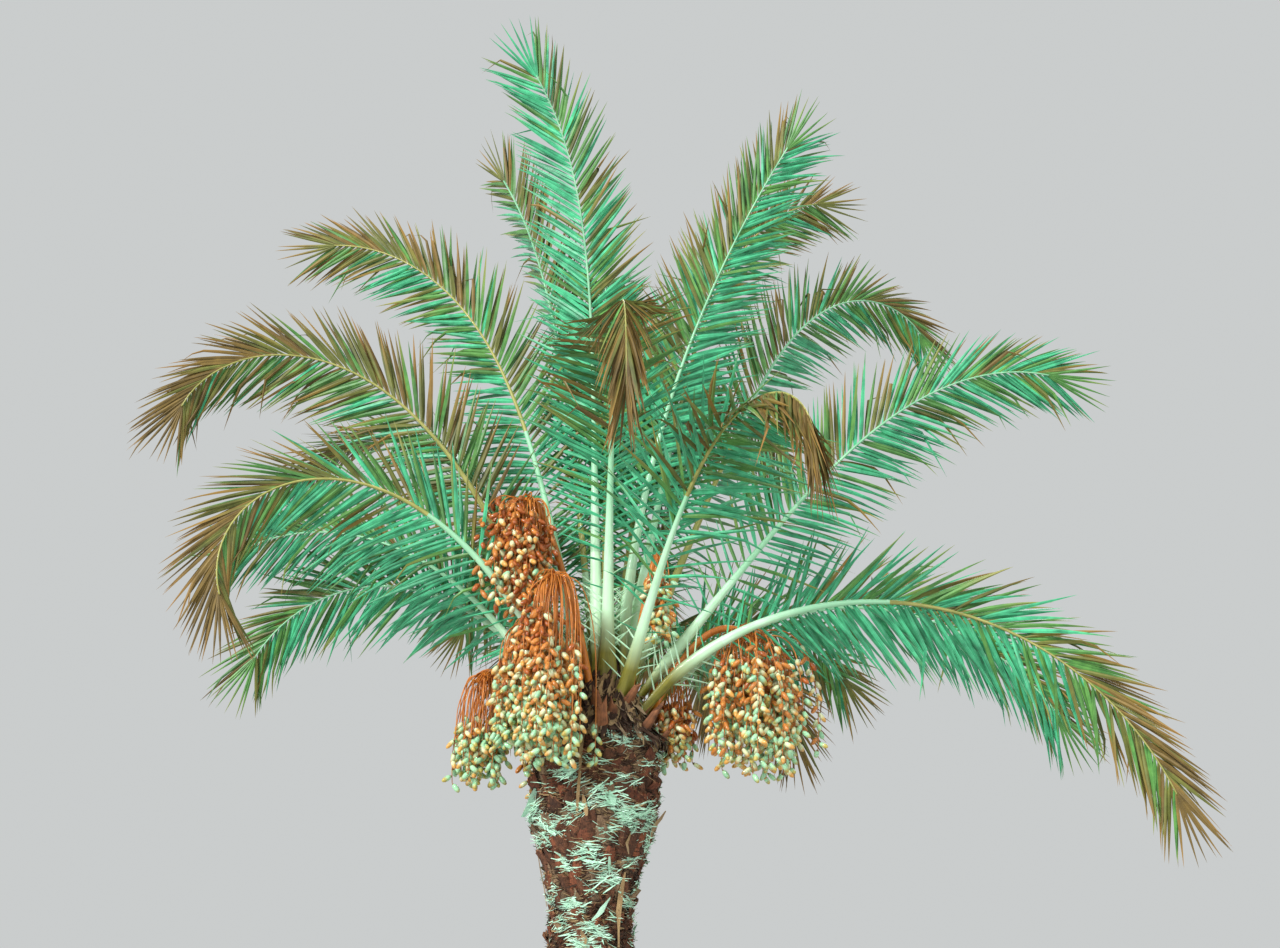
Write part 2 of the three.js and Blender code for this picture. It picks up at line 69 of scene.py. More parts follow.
def polar(bearing: Array | float, distance: Array | float, height: Array | float) -> Array:
    """Points off the axis.

    Args:
        bearing: their bearings in degrees.
        distance: their distances from the axis.
        height: their heights.

    Returns:
        The points.
    """
    turn = np.radians(bearing)
    parts = np.broadcast_arrays(distance * np.cos(turn), distance * np.sin(turn), height)
    return np.stack(parts, -1).astype(float)


def unit(vectors: Array) -> Array:
    """The vectors at length 1."""
    return vectors / np.linalg.norm(vectors, axis=-1, keepdims=True)


def scaled(vectors: Array, sizes: Array) -> Array:
    """Each vector times its own size."""
    return vectors * np.asarray(sizes)[..., None]


def square_to(axis: Array, vectors: Array) -> Array:
    """The vectors made square to an axis, at length 1."""
    return unit(vectors - scaled(axis, (vectors * axis).sum(-1)))


def turns_round(sides: int) -> Array:
    """Even turns round a circle in radians."""
    return np.arange(sides) * 2 * math.pi / sides


def linear(code: str) -> tuple[float, float, float, float]:
    """Turns an sRGB hex value into the linear colour that a shader takes.

    Args:
        code: the hex value, with its hash sign.

    Returns:
        Red, green, blue and an alpha of 1.
    """
    parts = [int(code[i : i + 2], 16) / 255 for i in (1, 3, 5)]
    red, green, blue = (c / 12.92 if c <= 0.04045 else ((c + 0.055) / 1.055) ** 2.4 for c in parts)
    return red, green, blue, 1.0


def add_node(tree: Tree, kind: str, settings: dict, links: dict | None = None) -> Node:
    """Adds a node with its settings and links.

    Args:
        tree: the node tree of the material.
        kind: the shader node's type.
        settings: values by the name or number of an input, or by the name of a property.
        links: the output that feeds each input, by the input's name or number.

    Returns:
        The new node.
    """
    node = tree.nodes.new("ShaderNode" + kind)
    for name, value in settings.items():
        if isinstance(name, int) or name in node.inputs:
            node.inputs[name].default_value = value
        else:
            setattr(node, name, value)
    for name, source in (links or {}).items():
        tree.links.new(source, node.inputs[name])
    return node


class Batch:
    """Many small shapes on their way to becoming one joined piece."""

    def __init__(self) -> None:
        """Starts with nothing in it."""
        self.points: list[Array] = []
        self.maps: list[Array] = []
        self.faces: list[Array] = []
        self.count = 0

    def add(self, points: Array, faces: list[Array], lay: Array | None = None) -> None:
        """Adds copies of one shape.

        Args:
            points: corners of every copy in millimetres, as copies x corners x 3.
            faces: arrays of corner numbers within one copy, one array for each number of sides.
            lay: across and along of every corner in millimetres, as copies x corners x 2.
        """
        copies, corners = points.shape[:2]
        starts = self.count + corners * np.arange(copies)
        for group in faces:
            self.faces.append((starts[:, None, None] + group[None]).reshape(-1, group.shape[1]))
        self.points.append(points.reshape(-1, 3))
        lay = np.zeros((copies, corners, 2)) if lay is None else lay
        self.maps.append(np.broadcast_to(lay, (copies, corners, 2)).reshape(-1, 2))
        self.count += copies * corners

    def mesh(self, name: str, smooth: bool) -> bpy.types.Mesh:
        """Joins everything into one mesh with its lay as texture coordinates.

        Args:
            name: the mesh's name.
            smooth: whether its faces are shaded as one curved surface.

        Returns:
            The mesh.
        """
        made = bpy.data.meshes.new(name)
        faces = [face for group in self.faces for face in group.tolist()]
        made.from_pydata((np.concatenate(self.points) * MM).tolist(), [], faces)
        made.polygons.foreach_set("use_smooth", [smooth] * len(made.polygons))
        corners = np.zeros(len(made.loops), np.int32)
        made.loops.foreach_get("vertex_index", corners)
        layer = made.uv_layers.new(name="lay")
        layer.data.foreach_set("uv", (np.concatenate(self.maps)[corners] * MM).ravel().astype(np.float32))
        made.validate()
        return made


def grid_faces(rows: int, columns: int, closed: bool) -> Array:
    """Four-sided faces between neighbouring rows of corners.

    Args:
        rows: number of rows.
        columns: corners in a row.
        closed: whether the last corner of a row joins its first.

    Returns:
        Corner numbers, four to a face.
    """
    steps = columns if closed else columns - 1
    row, column = np.meshgrid(np.arange(rows - 1), np.arange(steps), indexing="ij")
    here = (row * columns + column).ravel()
    beside = (row * columns + (column + 1) % columns).ravel()
    return np.stack([here, beside, beside + columns, here + columns], -1)


def fan_faces(ring: Array, tip: int) -> Array:
    """Three-sided faces from a closed ring of corners to one tip."""
    return np.stack([ring, np.roll(ring, -1), np.full(len(ring), tip)], -1)


def deal(
    batches: dict[Enum, Batch], numbers: Array, shapes: Array, faces: list[Array], lay: Array | None = None
) -> None:
    """Deals shapes out among batches.

    Args:
        batches: the batches by finish.
        numbers: for each shape, which batch takes it, counted in their order.
        shapes: corners of every shape.
        faces: the faces of one.
        lay: across and along of every corner.
    """
    for number, batch in enumerate(batches.values()):
        chosen = numbers == number
        if chosen.any():
            batch.add(shapes[chosen], faces, None if lay is None else lay[chosen])


def from_table(kind: type, table: dict[str, tuple]) -> list:
    """Things of one kind, each from its name, its number and its row in a table."""
    return [kind(name, number, *row) for number, (name, row) in enumerate(table.items())]


def add_object(name: str, data: bpy.types.ID) -> bpy.types.Object:
    """Puts an object into the scene.

    Args:
        name: its name.
        data: its mesh, light or camera.

    Returns:
        The object.
    """
    made = bpy.data.objects.new(name, data)
    bpy.context.scene.collection.objects.link(made)
    return made


# ---- Finishes ----


class Lay(Enum):
    """What a surface's grain follows: its place on the palm, or the run of each piece."""

    PLACE = "Object"
    PIECE = "UV"


TONE_REACH = 0.28  # how far patch and grain together carry a surface from its dark to its light shade
GLOSS_REACH = 0.08  # how far the grain carries the roughness
TURN_REACH = 0.65  # how far pieces differ in where they start to turn, in shares of the turning length


@dataclass(frozen=True)
class Finish:
    """A grown surface: two shades in patches, a grain along its fibres and a little relief.

    Attributes:
        name: the real material and how its surface came about.
        light: sRGB hex of the lighter shade.
        dark: sRGB hex of the darker shade.
        patch: size of a patch of shade in millimetres.
        grain: size of the grain in millimetres across, across and along.
        relief: depth of the grain in millimetres.
        roughness: mean roughness.
        lay: what the grain follows.
        spread: how far pieces differ in brightness.
        sheen: soft light at grazing angles, as on wax bloom or fibres.
        coat: thin clear skin.
        subsurface: light let through the flesh.
        tip: sRGB hex that a piece turns towards its far end.
        turn_from: distance from its root at which it starts to turn, in millimetres.
        turn_over: distance over which it turns.
    """

    name: str
    light: str
    dark: str
    patch: float
    grain: tuple[float, float, float]
    relief: float
    roughness: float
    lay: Lay = Lay.PLACE
    spread: float = 0.12
    sheen: float = 0.0
    coat: float = 0.0
    subsurface: float = 0.0
    tip: str = ""
    turn_from: float = 300
    turn_over: float = 220

    def material(self) -> bpy.types.Material:
        """Builds the material's nodes.

        Returns:
            The material.
        """
        made = bpy.data.materials.new(self.name)
        made.use_nodes = True
        tree = made.node_tree
        tree.nodes.clear()
        place = add_node(tree, "TexCoord", {})
        each = add_node(tree, "NewGeometry", {})
        size = {"Scale": 1 / (self.patch * MM), "Detail": 4.0, "Roughness": 0.6}
        patches = add_node(tree, "TexNoise", size, {"Vector": place.outputs["Object"]})
        size = {"Scale": tuple(1 / (length * MM) for length in self.grain)}
        along = add_node(tree, "Mapping", size, {"Vector": place.outputs[self.lay.value]})
        size = {"Scale": 1.0, "Detail": 3.0, "Roughness": 0.55}
        grain = add_node(tree, "TexNoise", size, {"Vector": along.outputs[0]})
        noises = {0: patches.outputs["Fac"], 1: grain.outputs["Fac"]}
        both = add_node(tree, "Math", {"operation": "ADD"}, noises)
        reach = {"From Min": 1 - TONE_REACH, "From Max": 1 + TONE_REACH}
        share = add_node(tree, "MapRange", reach, {"Value": both.outputs[0]})
        shades = {"data_type": "RGBA", 6: linear(self.dark), 7: linear(self.light)}
        tone = add_node(tree, "Mix", shades, {"Factor": share.outputs[0]})
        reach = {"To Min": 1 - self.spread, "To Max": 1 + self.spread}
        bright = add_node(tree, "MapRange", reach, {"Value": each.outputs["Random Per Island"]})
        shade = self.turned(tree, place, each, tone) if self.tip else tone
        feeds = {"Value": bright.outputs[0], "Color": shade.outputs[2]}
        colour = add_node(tree, "HueSaturation", {}, feeds)
        reach = {"To Min": self.roughness + GLOSS_REACH, "To Max": self.roughness - GLOSS_REACH}
        gloss = add_node(tree, "MapRange", reach, {"Value": grain.outputs["Fac"]})
        depth = {"Distance": self.relief * MM, "Strength": 1.0}
        raised = add_node(tree, "Bump", depth, {"Height": grain.outputs["Fac"]})
        skin = {
            "IOR": 1.45,  # plant wax and fibre
            "Sheen Weight": self.sheen,
            "Coat Weight": self.coat,
            "Subsurface Weight": self.subsurface,
            "Subsurface Scale": 0.01,
        }
        feeds = {"Base Color": colour.outputs[0], "Roughness": gloss.outputs[0], "Normal": raised.outputs[0]}
        shader = add_node(tree, "BsdfPrincipled", skin, feeds)
        add_node(tree, "OutputMaterial", {}, {"Surface": shader.outputs[0]})
        return made

    def turned(self, tree: Tree, place: Node, each: Node, tone: Node) -> Node:
        """Blends a piece's shade into that of its far end, sooner on some pieces than on others.

        Args:
            tree: the material's nodes.
            place: the texture coordinates.
            each: the geometry node that tells the pieces apart.
            tone: the piece's own shade.

        Returns:
            The node that holds the blended shade.
        """
        run = add_node(tree, "SeparateXYZ", {}, {"Vector": place.outputs["UV"]})
        stray = TURN_REACH * self.turn_over * MM
        spread = {"operation": "MULTIPLY_ADD", 1: 2 * stray, 2: -stray}
        late = add_node(tree, "Math", spread, {0: each.outputs["Random Per Island"]})
        runs = {0: run.outputs["Y"], 1: late.outputs[0]}
        reach = add_node(tree, "Math", {"operation": "ADD"}, runs)
        span = {"From Min": self.turn_from * MM, "From Max": (self.turn_from + self.turn_over) * MM}
        share = add_node(tree, "MapRange", span, {"Value": reach.outputs[0]})
        feeds = {"Factor": share.outputs[0], 6: tone.outputs[2]}
        return add_node(tree, "Mix", {"data_type": "RGBA", 7: linear(self.tip)}, feeds)


# Palm leaflets as they grow: a hard blade with long veins under a bloom of wax, which pales the green.
# Real veins are 1 mm apart; they are drawn 4 mm apart so that they show.
LEAF_GRAIN = (4.0, 160.0, 1.0)
# The sea green is painted light: the green floodlight from below on the lit faces of leaflets.
SEA_LEAF_FLOODLIT = Finish(
    "leaflet_painted_floodlit_sea_green", "#55d095", "#156a47", 90, LEAF_GRAIN, 1.2, 0.42, Lay.PIECE, 0.18, 0.15,
    tip="#64864a", turn_from=370,
)
FRESH_LEAF = Finish(
    "leaflet_fresh_green", "#66a04c", "#285f28", 90, LEAF_GRAIN, 1.2, 0.45, Lay.PIECE, 0.18, 0.1,
    tip="#84823c", turn_from=270,
)
OLIVE_LEAF = Finish(
    "leaflet_ageing_olive", "#7a7d38", "#464d20", 90, LEAF_GRAIN, 1.2, 0.52, Lay.PIECE, 0.2,
    tip="#876a30", turn_from=170,
)
OCHRE_LEAF = Finish(
    "leaflet_dried_ochre", "#856c33", "#54451f", 90, LEAF_GRAIN, 1.2, 0.6, Lay.PIECE, 0.22,
    tip="#8d6a34", turn_from=260,
)
# Frond stalks and ribs: smooth hard rind with long streaks, olive at the foot, partly its own colour and partly
# painted shadow, and pale mint higher up, which is painted green floodlight.
RIB_GRAIN = (9.0, 260.0, 1.0)
STALK_RIND = Finish(
    "stalk_rind_olive", "#97913a", "#666622", 120, RIB_GRAIN, 0.8, 0.42, Lay.PIECE, coat=0.1,
    tip="#c6eec6", turn_from=130,
)
# The pale rind of the middle length and of the spines is painted green floodlight.
RIB_PALE = Finish(
    "rib_rind_painted_floodlit_pale", "#d6fadb", "#aee0b4", 120, RIB_GRAIN, 0.8, 0.42, Lay.PIECE, coat=0.1,
    tip="#9fdcb0", turn_from=700,
)
RIB_WAXY = Finish(
    "rib_rind_waxy_green", "#a6e0b2", "#6fb58a", 120, RIB_GRAIN, 0.8, 0.45, Lay.PIECE, coat=0.05,
)
RIB_DRYING = Finish(
    "rib_rind_yellowed", "#b9b46a", "#858a42", 120, RIB_GRAIN, 0.8, 0.45, Lay.PIECE, coat=0.05,
)
STALK_DRY = Finish(
    "cut_stalk_dried_russet", "#9a6440", "#4d2f1f", 40, RIB_GRAIN, 2.0, 0.8, Lay.PIECE, spread=0.35,
)

# Old leaf bases, sawn off and weathered: coarse dry fibre, dark in the hollows and redder where it is broken.
BOOT_GRAIN = (5.0, 5.0, 60.0)
BOOT_BROWN = Finish("boot_weathered_brown", "#764b33", "#352116", 30, BOOT_GRAIN, 5.0, 0.9, spread=0.45)
BOOT_RUSSET = Finish("boot_broken_russet", "#8a5034", "#482619", 30, BOOT_GRAIN, 5.0, 0.88, spread=0.4)
BOOT_GREY = Finish("boot_bleached_grey", "#93785c", "#54412f", 30, BOOT_GRAIN, 5.0, 0.92, spread=0.35)
BOOT_CUT = Finish("boot_sawn_end", "#a3714f", "#553523", 30, (6.0, 6.0, 6.0), 4.0, 0.92, spread=0.35)
# Leaf sheaths torn into matted sheets and strings: a loose burlap of tan and darker brown, with pale mint
# threads that are painted green floodlight.
FIBRE_PALE = Finish(
    "sheath_fibre_painted_floodlit_mint", "#d2f8df", "#98cfae", 60, (4.0, 4.0, 4.0), 2.0, 0.85, sheen=0.3,
    spread=0.25,
)
FIBRE_TAN = Finish(
    "sheath_fibre_tan", "#a58a5e", "#6f5638", 60, (4.0, 4.0, 4.0), 2.0, 0.88, sheen=0.2, spread=0.25,
)
FIBRE_DARK = Finish(
    "sheath_fibre_dark_brown", "#4a3324", "#2a1b12", 60, (4.0, 4.0, 4.0), 3.0, 0.92, spread=0.2,
)
# Fruit stalks and strands: smooth waxy orange.
STRAND_WAX = Finish(
    "fruit_strand_waxy_orange", "#d4842f", "#a85a1e", 50, (6.0, 6.0, 60.0), 0.5, 0.42, coat=0.15,
)
# Dates: taut glossy skin with faint mottling, which lets a little light into the flesh.
DATE_GRAIN = (7.0, 7.0, 7.0)
DATE_RUST = Finish(
    "date_skin_rust", "#b86428", "#8a4418", 14, DATE_GRAIN, 0.5, 0.34, coat=0.25, subsurface=0.08,
)
DATE_AMBER = Finish(
    "date_skin_amber", "#d48a3e", "#ae692c", 14, DATE_GRAIN, 0.5, 0.34, coat=0.25, subsurface=0.1,
)
# The cream and mint skins are painted green floodlight on the lit upper side of a date, the mint partly the
# real green of unripe dates, and their darker lower ends are painted shade.
DATE_CREAM = Finish(
    "date_skin_painted_highlight_cream", "#ecf0c6", "#c9d8a2", 14, DATE_GRAIN, 0.5, 0.36, Lay.PLACE, coat=0.25,
    subsurface=0.1, tip="#cf9a4c", turn_from=24, turn_over=18,
)
DATE_GREEN = Finish(
    "date_skin_painted_floodlit_mint", "#bdeabf", "#8ccb9c", 14, DATE_GRAIN, 0.5, 0.36, Lay.PLACE, coat=0.25,
    subsurface=0.1, tip="#b7a552", turn_from=30, turn_over=18,
)


class Slot(Enum):
    """The record's material slots."""

    BARK = "bark"
    LEAF = "frond_leaf"
    STALK = "fruit_stalk"
    DATES = "dates"


def set_piece(name: str, batch: Batch, finish: Finish, nodes: list[str], smooth: bool) -> None:
    """Makes a joined piece, dresses it and seats it on the frame.

    Args:
        name: the piece's name.
        batch: its shapes.
        finish: its finish.
        nodes: the CAD nodes that it stands for.
        smooth: whether its faces are shaded as one curved surface.
    """
    made = add_object(name, batch.mesh(name, smooth))
    made.data.materials.append(finish.material())
    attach(made, "root")
    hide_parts(*nodes)
    triangles = sum(len(group) * (group.shape[1] - 2) for group in batch.faces)
    LOG.info("%s: %d triangles in %s", name, triangles, finish.name)


def set_pieces(stem: str, batches: dict[Enum, Batch], nodes: list[str], smooth: bool) -> None:
    """Sets one piece for each finish of a kind, named for it."""
    for finish, batch in batches.items():
        set_piece(f"{stem}_{finish.name.lower()}", batch, finish.value, nodes, smooth)


# ---- Trunk ----


def ripples(turn: Array, height: Array, waves: tuple[tuple[float, ...], ...]) -> Array:
    """Sum of waves that run round and up the trunk, each with its number of turns, climb and start."""
    return sum(np.sin(around * turn + climb * height + start) for around, climb, start in waves)


class BootTint(Enum):
    """The finishes that old leaf bases are dealt."""

    BROWN = BOOT_BROWN
    RUSSET = BOOT_RUSSET
    GREY = BOOT_GREY


class FibreTint(Enum):
    """The finishes that torn sheath fibre is dealt, from the palest, which is painted green floodlight, to the
    darkest.
    """

    PALE = FIBRE_PALE
    TAN = FIBRE_TAN
    DARK = FIBRE_DARK


@dataclass
class Trunk:
    """The trunk: a fibrous core in a lattice of sawn leaf bases, with torn sheaths between them."""

    profile: tuple[tuple[float, float], ...] = (  # heights and radii over the boots
        (0, 330), (150, 270), (400, 236), (1000, 216), (2540, 208), (2760, 202), (2920, 240),
        (3160, 314), (3520, 318), (3640, 268), (3760, 214), (3900, 150), (4020, 98), (4100, 55),
    )
    # The slim heart above the boots, which the stalks clasp.
    heart: tuple[tuple[float, float], ...] = ((3540, 300), (3610, 236), (3660, 206), (3960, 56), (4030, 24))
    bow: float = 74  # how far the axis bows aside
    bow_top: float = 3900
    boot_pitch: float = 35  # height of a row
    boot_rows: int = 101
    full_rows: int = 4  # rows until the boots are full grown, from the ground
    boots_around: int = 16
    boot_depth: float = 44  # of the hollows between boots
    boot_lift: float = 18  # height of a boot's end over its row
    boot_twist: float = 2.2  # degrees from row to row
    boot_shares: tuple[float, ...] = (0.5, 0.33, 0.17)  # of brown, russet and grey
    boot_fill: tuple[float, float] = (0.74, 1.06)  # widths in shares of a boot's room
    boot_length: tuple[float, float] = (2.6, 3.6)  # in rows
    boot_wall: tuple[float, float] = (14, 24)
    boot_grid: tuple[int, int] = (7, 5)  # corners across and up
    standing: float = 0.12  # share of boots that stand well out
    core_sides: int = 120
    core_rings: int = 170
    core_relief: float = 12
    # Turns, climbs and starts of the waves that shape the core and gather pale threads, painted green
    # floodlight, in patches.
    core_waves: tuple[tuple[float, ...], ...] = ((17, 0.021, 0), (29, -0.043, 2))
    floodlit_patches: tuple[tuple[float, ...], ...] = ((3, 0.017, 0.6), (5, -0.029, 2), (8, 0.041, 0))
    strips: int = 23000  # threads of torn sheath
    band: tuple[float, float] = (3150, 55)  # height and breadth of the pale band under the crown, a painted pool of green floodlight
    fibre_steps: tuple[float, float] = (0.4, 0.61)  # from dark to tan, and from tan to pale
    upright_strips: int = 1800  # between the stalks
    upright_steps: tuple[float, float] = (0.6, 0.975)
    strip_taper: tuple[float, ...] = (0.5, 0.95, 1.0, 0.8, 0.35)  # widths along a strip
    flaps: int = 20
    caught: int = 4  # dry leaflets
    stubs: int = 19
    stub_grid: tuple[int, int] = (12, 6)  # corners round and along
    seed: int = 5
    rng: np.random.Generator = field(init=False)

    def __post_init__(self) -> None:
        """Starts the trunk's own random draws."""
        self.rng = np.random.default_rng(self.seed)

    def radius(self, height: Array | float) -> Array:
        """Radius over the boots at a height."""
        return np.interp(height, [z for z, _ in self.profile], [r for _, r in self.profile])

    def shift(self, height: Array | float) -> Array:
        """How far the axis bows aside at a height."""
        part = np.clip(np.asarray(height) / self.bow_top, 0, 1)
        return -self.bow * np.sqrt(np.abs(np.sin(math.pi * part)))

    def place(self, turn: Array, radius: Array, height: Array) -> Array:
        """Points from a turn in radians, a distance from the bowed axis and a height."""
        x = radius * np.cos(turn) + self.shift(height)
        return np.stack(np.broadcast_arrays(x, radius * np.sin(turn), height), -1)

    def surface(self, height: Array | float) -> Array:
        """Radius over the boots, and above them of the slim heart that the stalks clasp."""
        heart = np.interp(height, [z for z, _ in self.heart], [r for _, r in self.heart], left=999)
        return np.minimum(self.radius(height), heart)

    def core(self) -> Batch:
        """Makes the fibrous surface between the boots, as one closed skin with its own relief.

        Returns:
            The batch that holds it.
        """
        top = self.heart[-1][0]
        heights = np.linspace(0, top, self.core_rings)
        height, turn = np.meshgrid(heights, turns_round(self.core_sides), indexing="ij")
        grown = np.clip(height / (self.full_rows * self.boot_pitch), 1 / self.full_rows, 1)
        sunk = self.boot_depth * grown * np.clip((top - height) / 300, 0, 1)
        waves = ripples(turn, height, self.core_waves)
        rough = self.core_relief * (0.25 * waves + self.rng.uniform(-0.5, 0.5, height.shape))
        rough *= np.clip(height / 60, 0, 1)
        out = np.minimum(self.radius(height) - sunk, self.surface(height) - 4)
        points = self.place(turn, np.maximum(out + rough, 16), height)
        foot, tip = np.array([0.0, 0.0, 0.0]), np.array([float(self.shift(top)), 0.0, top])
        corners = np.concatenate([points.reshape(-1, 3), foot[None], tip[None]])
        first = np.arange(self.core_sides)
        last = first + (self.core_rings - 1) * self.core_sides
        faces = [
            grid_faces(self.core_rings, self.core_sides, True),
            fan_faces(first[::-1], len(corners) - 2),
            fan_faces(last, len(corners) - 1),
        ]
        batch = Batch()
        batch.add(corners[None], faces)
        return batch

    def boots(self) -> tuple[dict[BootTint, Batch], Batch]:
        """Makes the old leaf bases on their lattice.

        Returns:
            Their shells by tint, and their sawn ends.
        """
        shells = {tint: Batch() for tint in BootTint}
        ends = Batch()
        tints = list(BootTint)
        for row in range(1, self.boot_rows + 1):
            for side in range(row % 2, 2 * self.boots_around, 2):
                turn = math.pi * side / self.boots_around + math.radians(self.boot_twist * row)
                tint = tints[self.rng.choice(len(tints), p=self.boot_shares)]
                self.boot(turn, row, shells[tint], ends)
        return shells, ends

    def boot(self, turn: float, row: int, shell: Batch, ends: Batch) -> None:
        """Adds one old leaf base.

        Args:
            turn: its bearing in radians.
            row: its row in the lattice.
            shell: the batch that takes its outer and inner faces.
            ends: the batch that takes its sawn end.
        """
        rng = self.rng
        across, rows = self.boot_grid
        grown = min(row / self.full_rows, 1)
        top = row * self.boot_pitch + self.boot_lift * grown + rng.uniform(-15, 15)
        reach = self.radius(row * self.boot_pitch) + rng.uniform(-6, 8)
        width = 2 * math.pi * reach / self.boots_around * rng.uniform(*self.boot_fill)
        length = min(rng.uniform(*self.boot_length) * self.boot_pitch, top - 4)
        thick = rng.uniform(*self.boot_wall) * (0.5 + 0.5 * grown)
        proud = rng.uniform(-14, 6) + (rng.uniform(8, 28) if rng.random() < self.standing else 0)
        lean = rng.uniform(-0.5, 0.5)
        # Across and up: it narrows upwards, thins to its edges and bulges along its midrib.
        u = np.linspace(-1, 1, across)
        v = np.linspace(0, 1, rows)[:, None]
        half = 0.5 * width * (1.14 - rng.uniform(0.2, 0.7) * v**2.2)
        face = reach - self.boot_depth * grown * (1 - v) ** 1.1 + proud * v**3
        ribs = rng.normal(0, 2.6, across) + rng.normal(0, 2.0, (rows, across))
        outer = face - 13 * np.abs(u) ** 2.2 + 5 * np.exp(-((u / 0.3) ** 2)) * v + ribs
        inner = outer - thick * (1 - 0.8 * np.abs(u) ** 2) * (0.5 + 0.5 * v)
        # Its upper edge is ragged and sawn askew, and its whole length leans a little.
        ragged = rng.normal(0, 6, across) * v**4 + 8 * (1 - u**2) * v**2 + rng.uniform(-24, 24) * u * v**2
        height = top - length * (1 - v) + ragged - 10 * v * (1 - u**2)
        height = np.maximum(height, 1)
        angle = turn + (half * u + lean * length * (v - 0.5) * 0.5) / reach
        slope = 8 * v**4  # the saw leaves the inner edge a little higher
        front = self.place(angle, outer, height)
        back = self.place(angle, inner, np.broadcast_to(height + slope, height.shape))
        loop = np.concatenate([front, back[:, -2:0:-1]], 1)
        count = loop.shape[1]
        shell.add(loop.reshape(1, -1, 3), [grid_faces(rows, count, True)])
        self.sawn_end(ends, loop[-1], UP, 5, 0.45)

    def sawn_end(self, ends: Batch, rim: Array, way: Array, depth: float, inward: float) -> None:
        """Adds a sawn end with its rough hollow.

        Args:
            ends: the batch that takes it.
            rim: the corners round it.
            way: the direction out of it.
            depth: depth of the hollow.
            inward: share of the way from the rim to the middle at which the hollow starts.
        """
        count = len(rim)
        hub = rim.mean(0) - way * depth
        inset = lerp(rim, hub, inward) - way * self.rng.uniform(0, depth, (count, 1))
        corners = np.concatenate([rim, inset, hub[None]])
        ends.add(corners[None], [grid_faces(2, count, True), fan_faces(np.arange(count) + count, 2 * count)])

    def strip(
        self, turn: Array, height: Array, slant: Array, length: Array, width: Array, proud: Array, curl: Array
    ) -> Array:
        """Makes strips of torn sheath that lie on the trunk.

        Args:
            turn: bearing of each strip's middle in radians.
            height: height of its middle.
            slant: its climb round the trunk, in radians.
            length: its length.
            width: its width.
            proud: how far it lies outside the surface.
            curl: how far its ends stand away.

        Returns:
            Corners of every strip.
        """
        rng = self.rng
        count = len(turn)
        t = np.linspace(-0.5, 0.5, len(self.strip_taper))
        run = length[:, None] * t
        heights = height[:, None] + run * np.sin(slant)[:, None] + rng.normal(0, 2.5, run.shape)
        heights = np.maximum(heights, 2)
        reach = np.maximum(self.surface(heights), 40)
        turns = turn[:, None] + run * np.cos(slant)[:, None] / reach
        lifted = curl[:, None] * np.maximum(t * rng.choice([-2, 2], (count, 1)) + 0.2, 0) ** 1.6
        out = reach + proud[:, None] + lifted + rng.normal(0, 2.5, run.shape)
        middle = self.place(turns, out, heights)
        along = unit(np.gradient(middle, axis=1))
        away = unit(middle * [1, 1, 0] - np.stack([self.shift(heights), 0 * heights, 0 * heights], -1))
        tilt = rng.normal(0, 0.45, count)[:, None]
        side = unit(np.cross(away, along))
        side = scaled(side, np.cos(tilt)) + scaled(away, np.sin(tilt))
        half = 0.5 * width[:, None] * np.array(self.strip_taper)
        first = scaled(side, half * rng.uniform(0.4, 1.5, run.shape))
        second = scaled(side, half * rng.uniform(0.4, 1.5, run.shape))
        return np.stack([middle - first, middle + second], 2).reshape(count, -1, 3)

    def torn_sheaths(self) -> dict[FibreTint, Batch]:
        """Makes the torn leaf sheath: threads, flaps and upright fibre, and the dry leaflets caught in it.

        Returns:
            The strips by tint.
        """
        batches = {tint: Batch() for tint in FibreTint}
        faces = [grid_faces(len(self.strip_taper), 2, False)]
        strips, numbers = self.threads()
        deal(batches, numbers, strips, faces)
        strips = self.standing_flaps()
        deal(batches, np.arange(self.flaps) % 2, strips, faces)
        batches[FibreTint.TAN].add(self.caught_leaflets(), faces)
        strips, numbers = self.upright_fibre()
        deal(batches, numbers, strips, faces)
        return batches

    def threads(self) -> tuple[Array, Array]:
        """Makes the threads that cover the trunk: pale ones, painted green floodlight, matted in patches, dark
        ones between them.

        Returns:
            Corners of the threads, and the numbers of their tints.
        """
        rng = self.rng
        count = self.strips
        height = rng.uniform(60, 3640, count)
        upper = rng.random(count) < 0.5
        height[upper] = rng.uniform(2450, 3640, upper.sum())
        turn = rng.uniform(0, 2 * math.pi, count)
        middle, breadth = self.band
        # The pale threads, painted green floodlight, gather in the patches and in the band under the crown.
        waves = ripples(turn, height, self.floodlit_patches) + 1.3 * np.exp(-(((height - middle) / breadth) ** 2))
        cell = noise(np.floor(turn * 4.7 + height / 210) * 7 + np.floor(height / 62 + turn * 1.3) * 31)
        rank = 0.42 + 0.13 * waves + 0.34 * (cell - 0.5) + rng.uniform(-0.13, 0.13, count)
        tint = np.digitize(rank, self.fibre_steps)
        lie = 0.55 * (noise(np.floor(turn * 2.1) * 13 + np.floor(height / 120) * 5) - 0.5)
        slant = lie + rng.normal(0, 0.34, count)
        length = rng.uniform(35, 135, count)
        width = rng.choice([2.5, 4, 7, 12], count, p=[0.38, 0.36, 0.19, 0.07]) * rng.uniform(0.7, 1.3, count)
        raised, sunk = rng.uniform(-12, 5, count), rng.uniform(-36, -8, count) * np.clip(height / 400, 0.3, 1)
        proud = np.where(tint == len(self.fibre_steps), raised, sunk)
        strips = self.strip(turn, height, slant, length, width, proud, rng.uniform(2, 22, count))
        return strips, len(self.fibre_steps) - tint

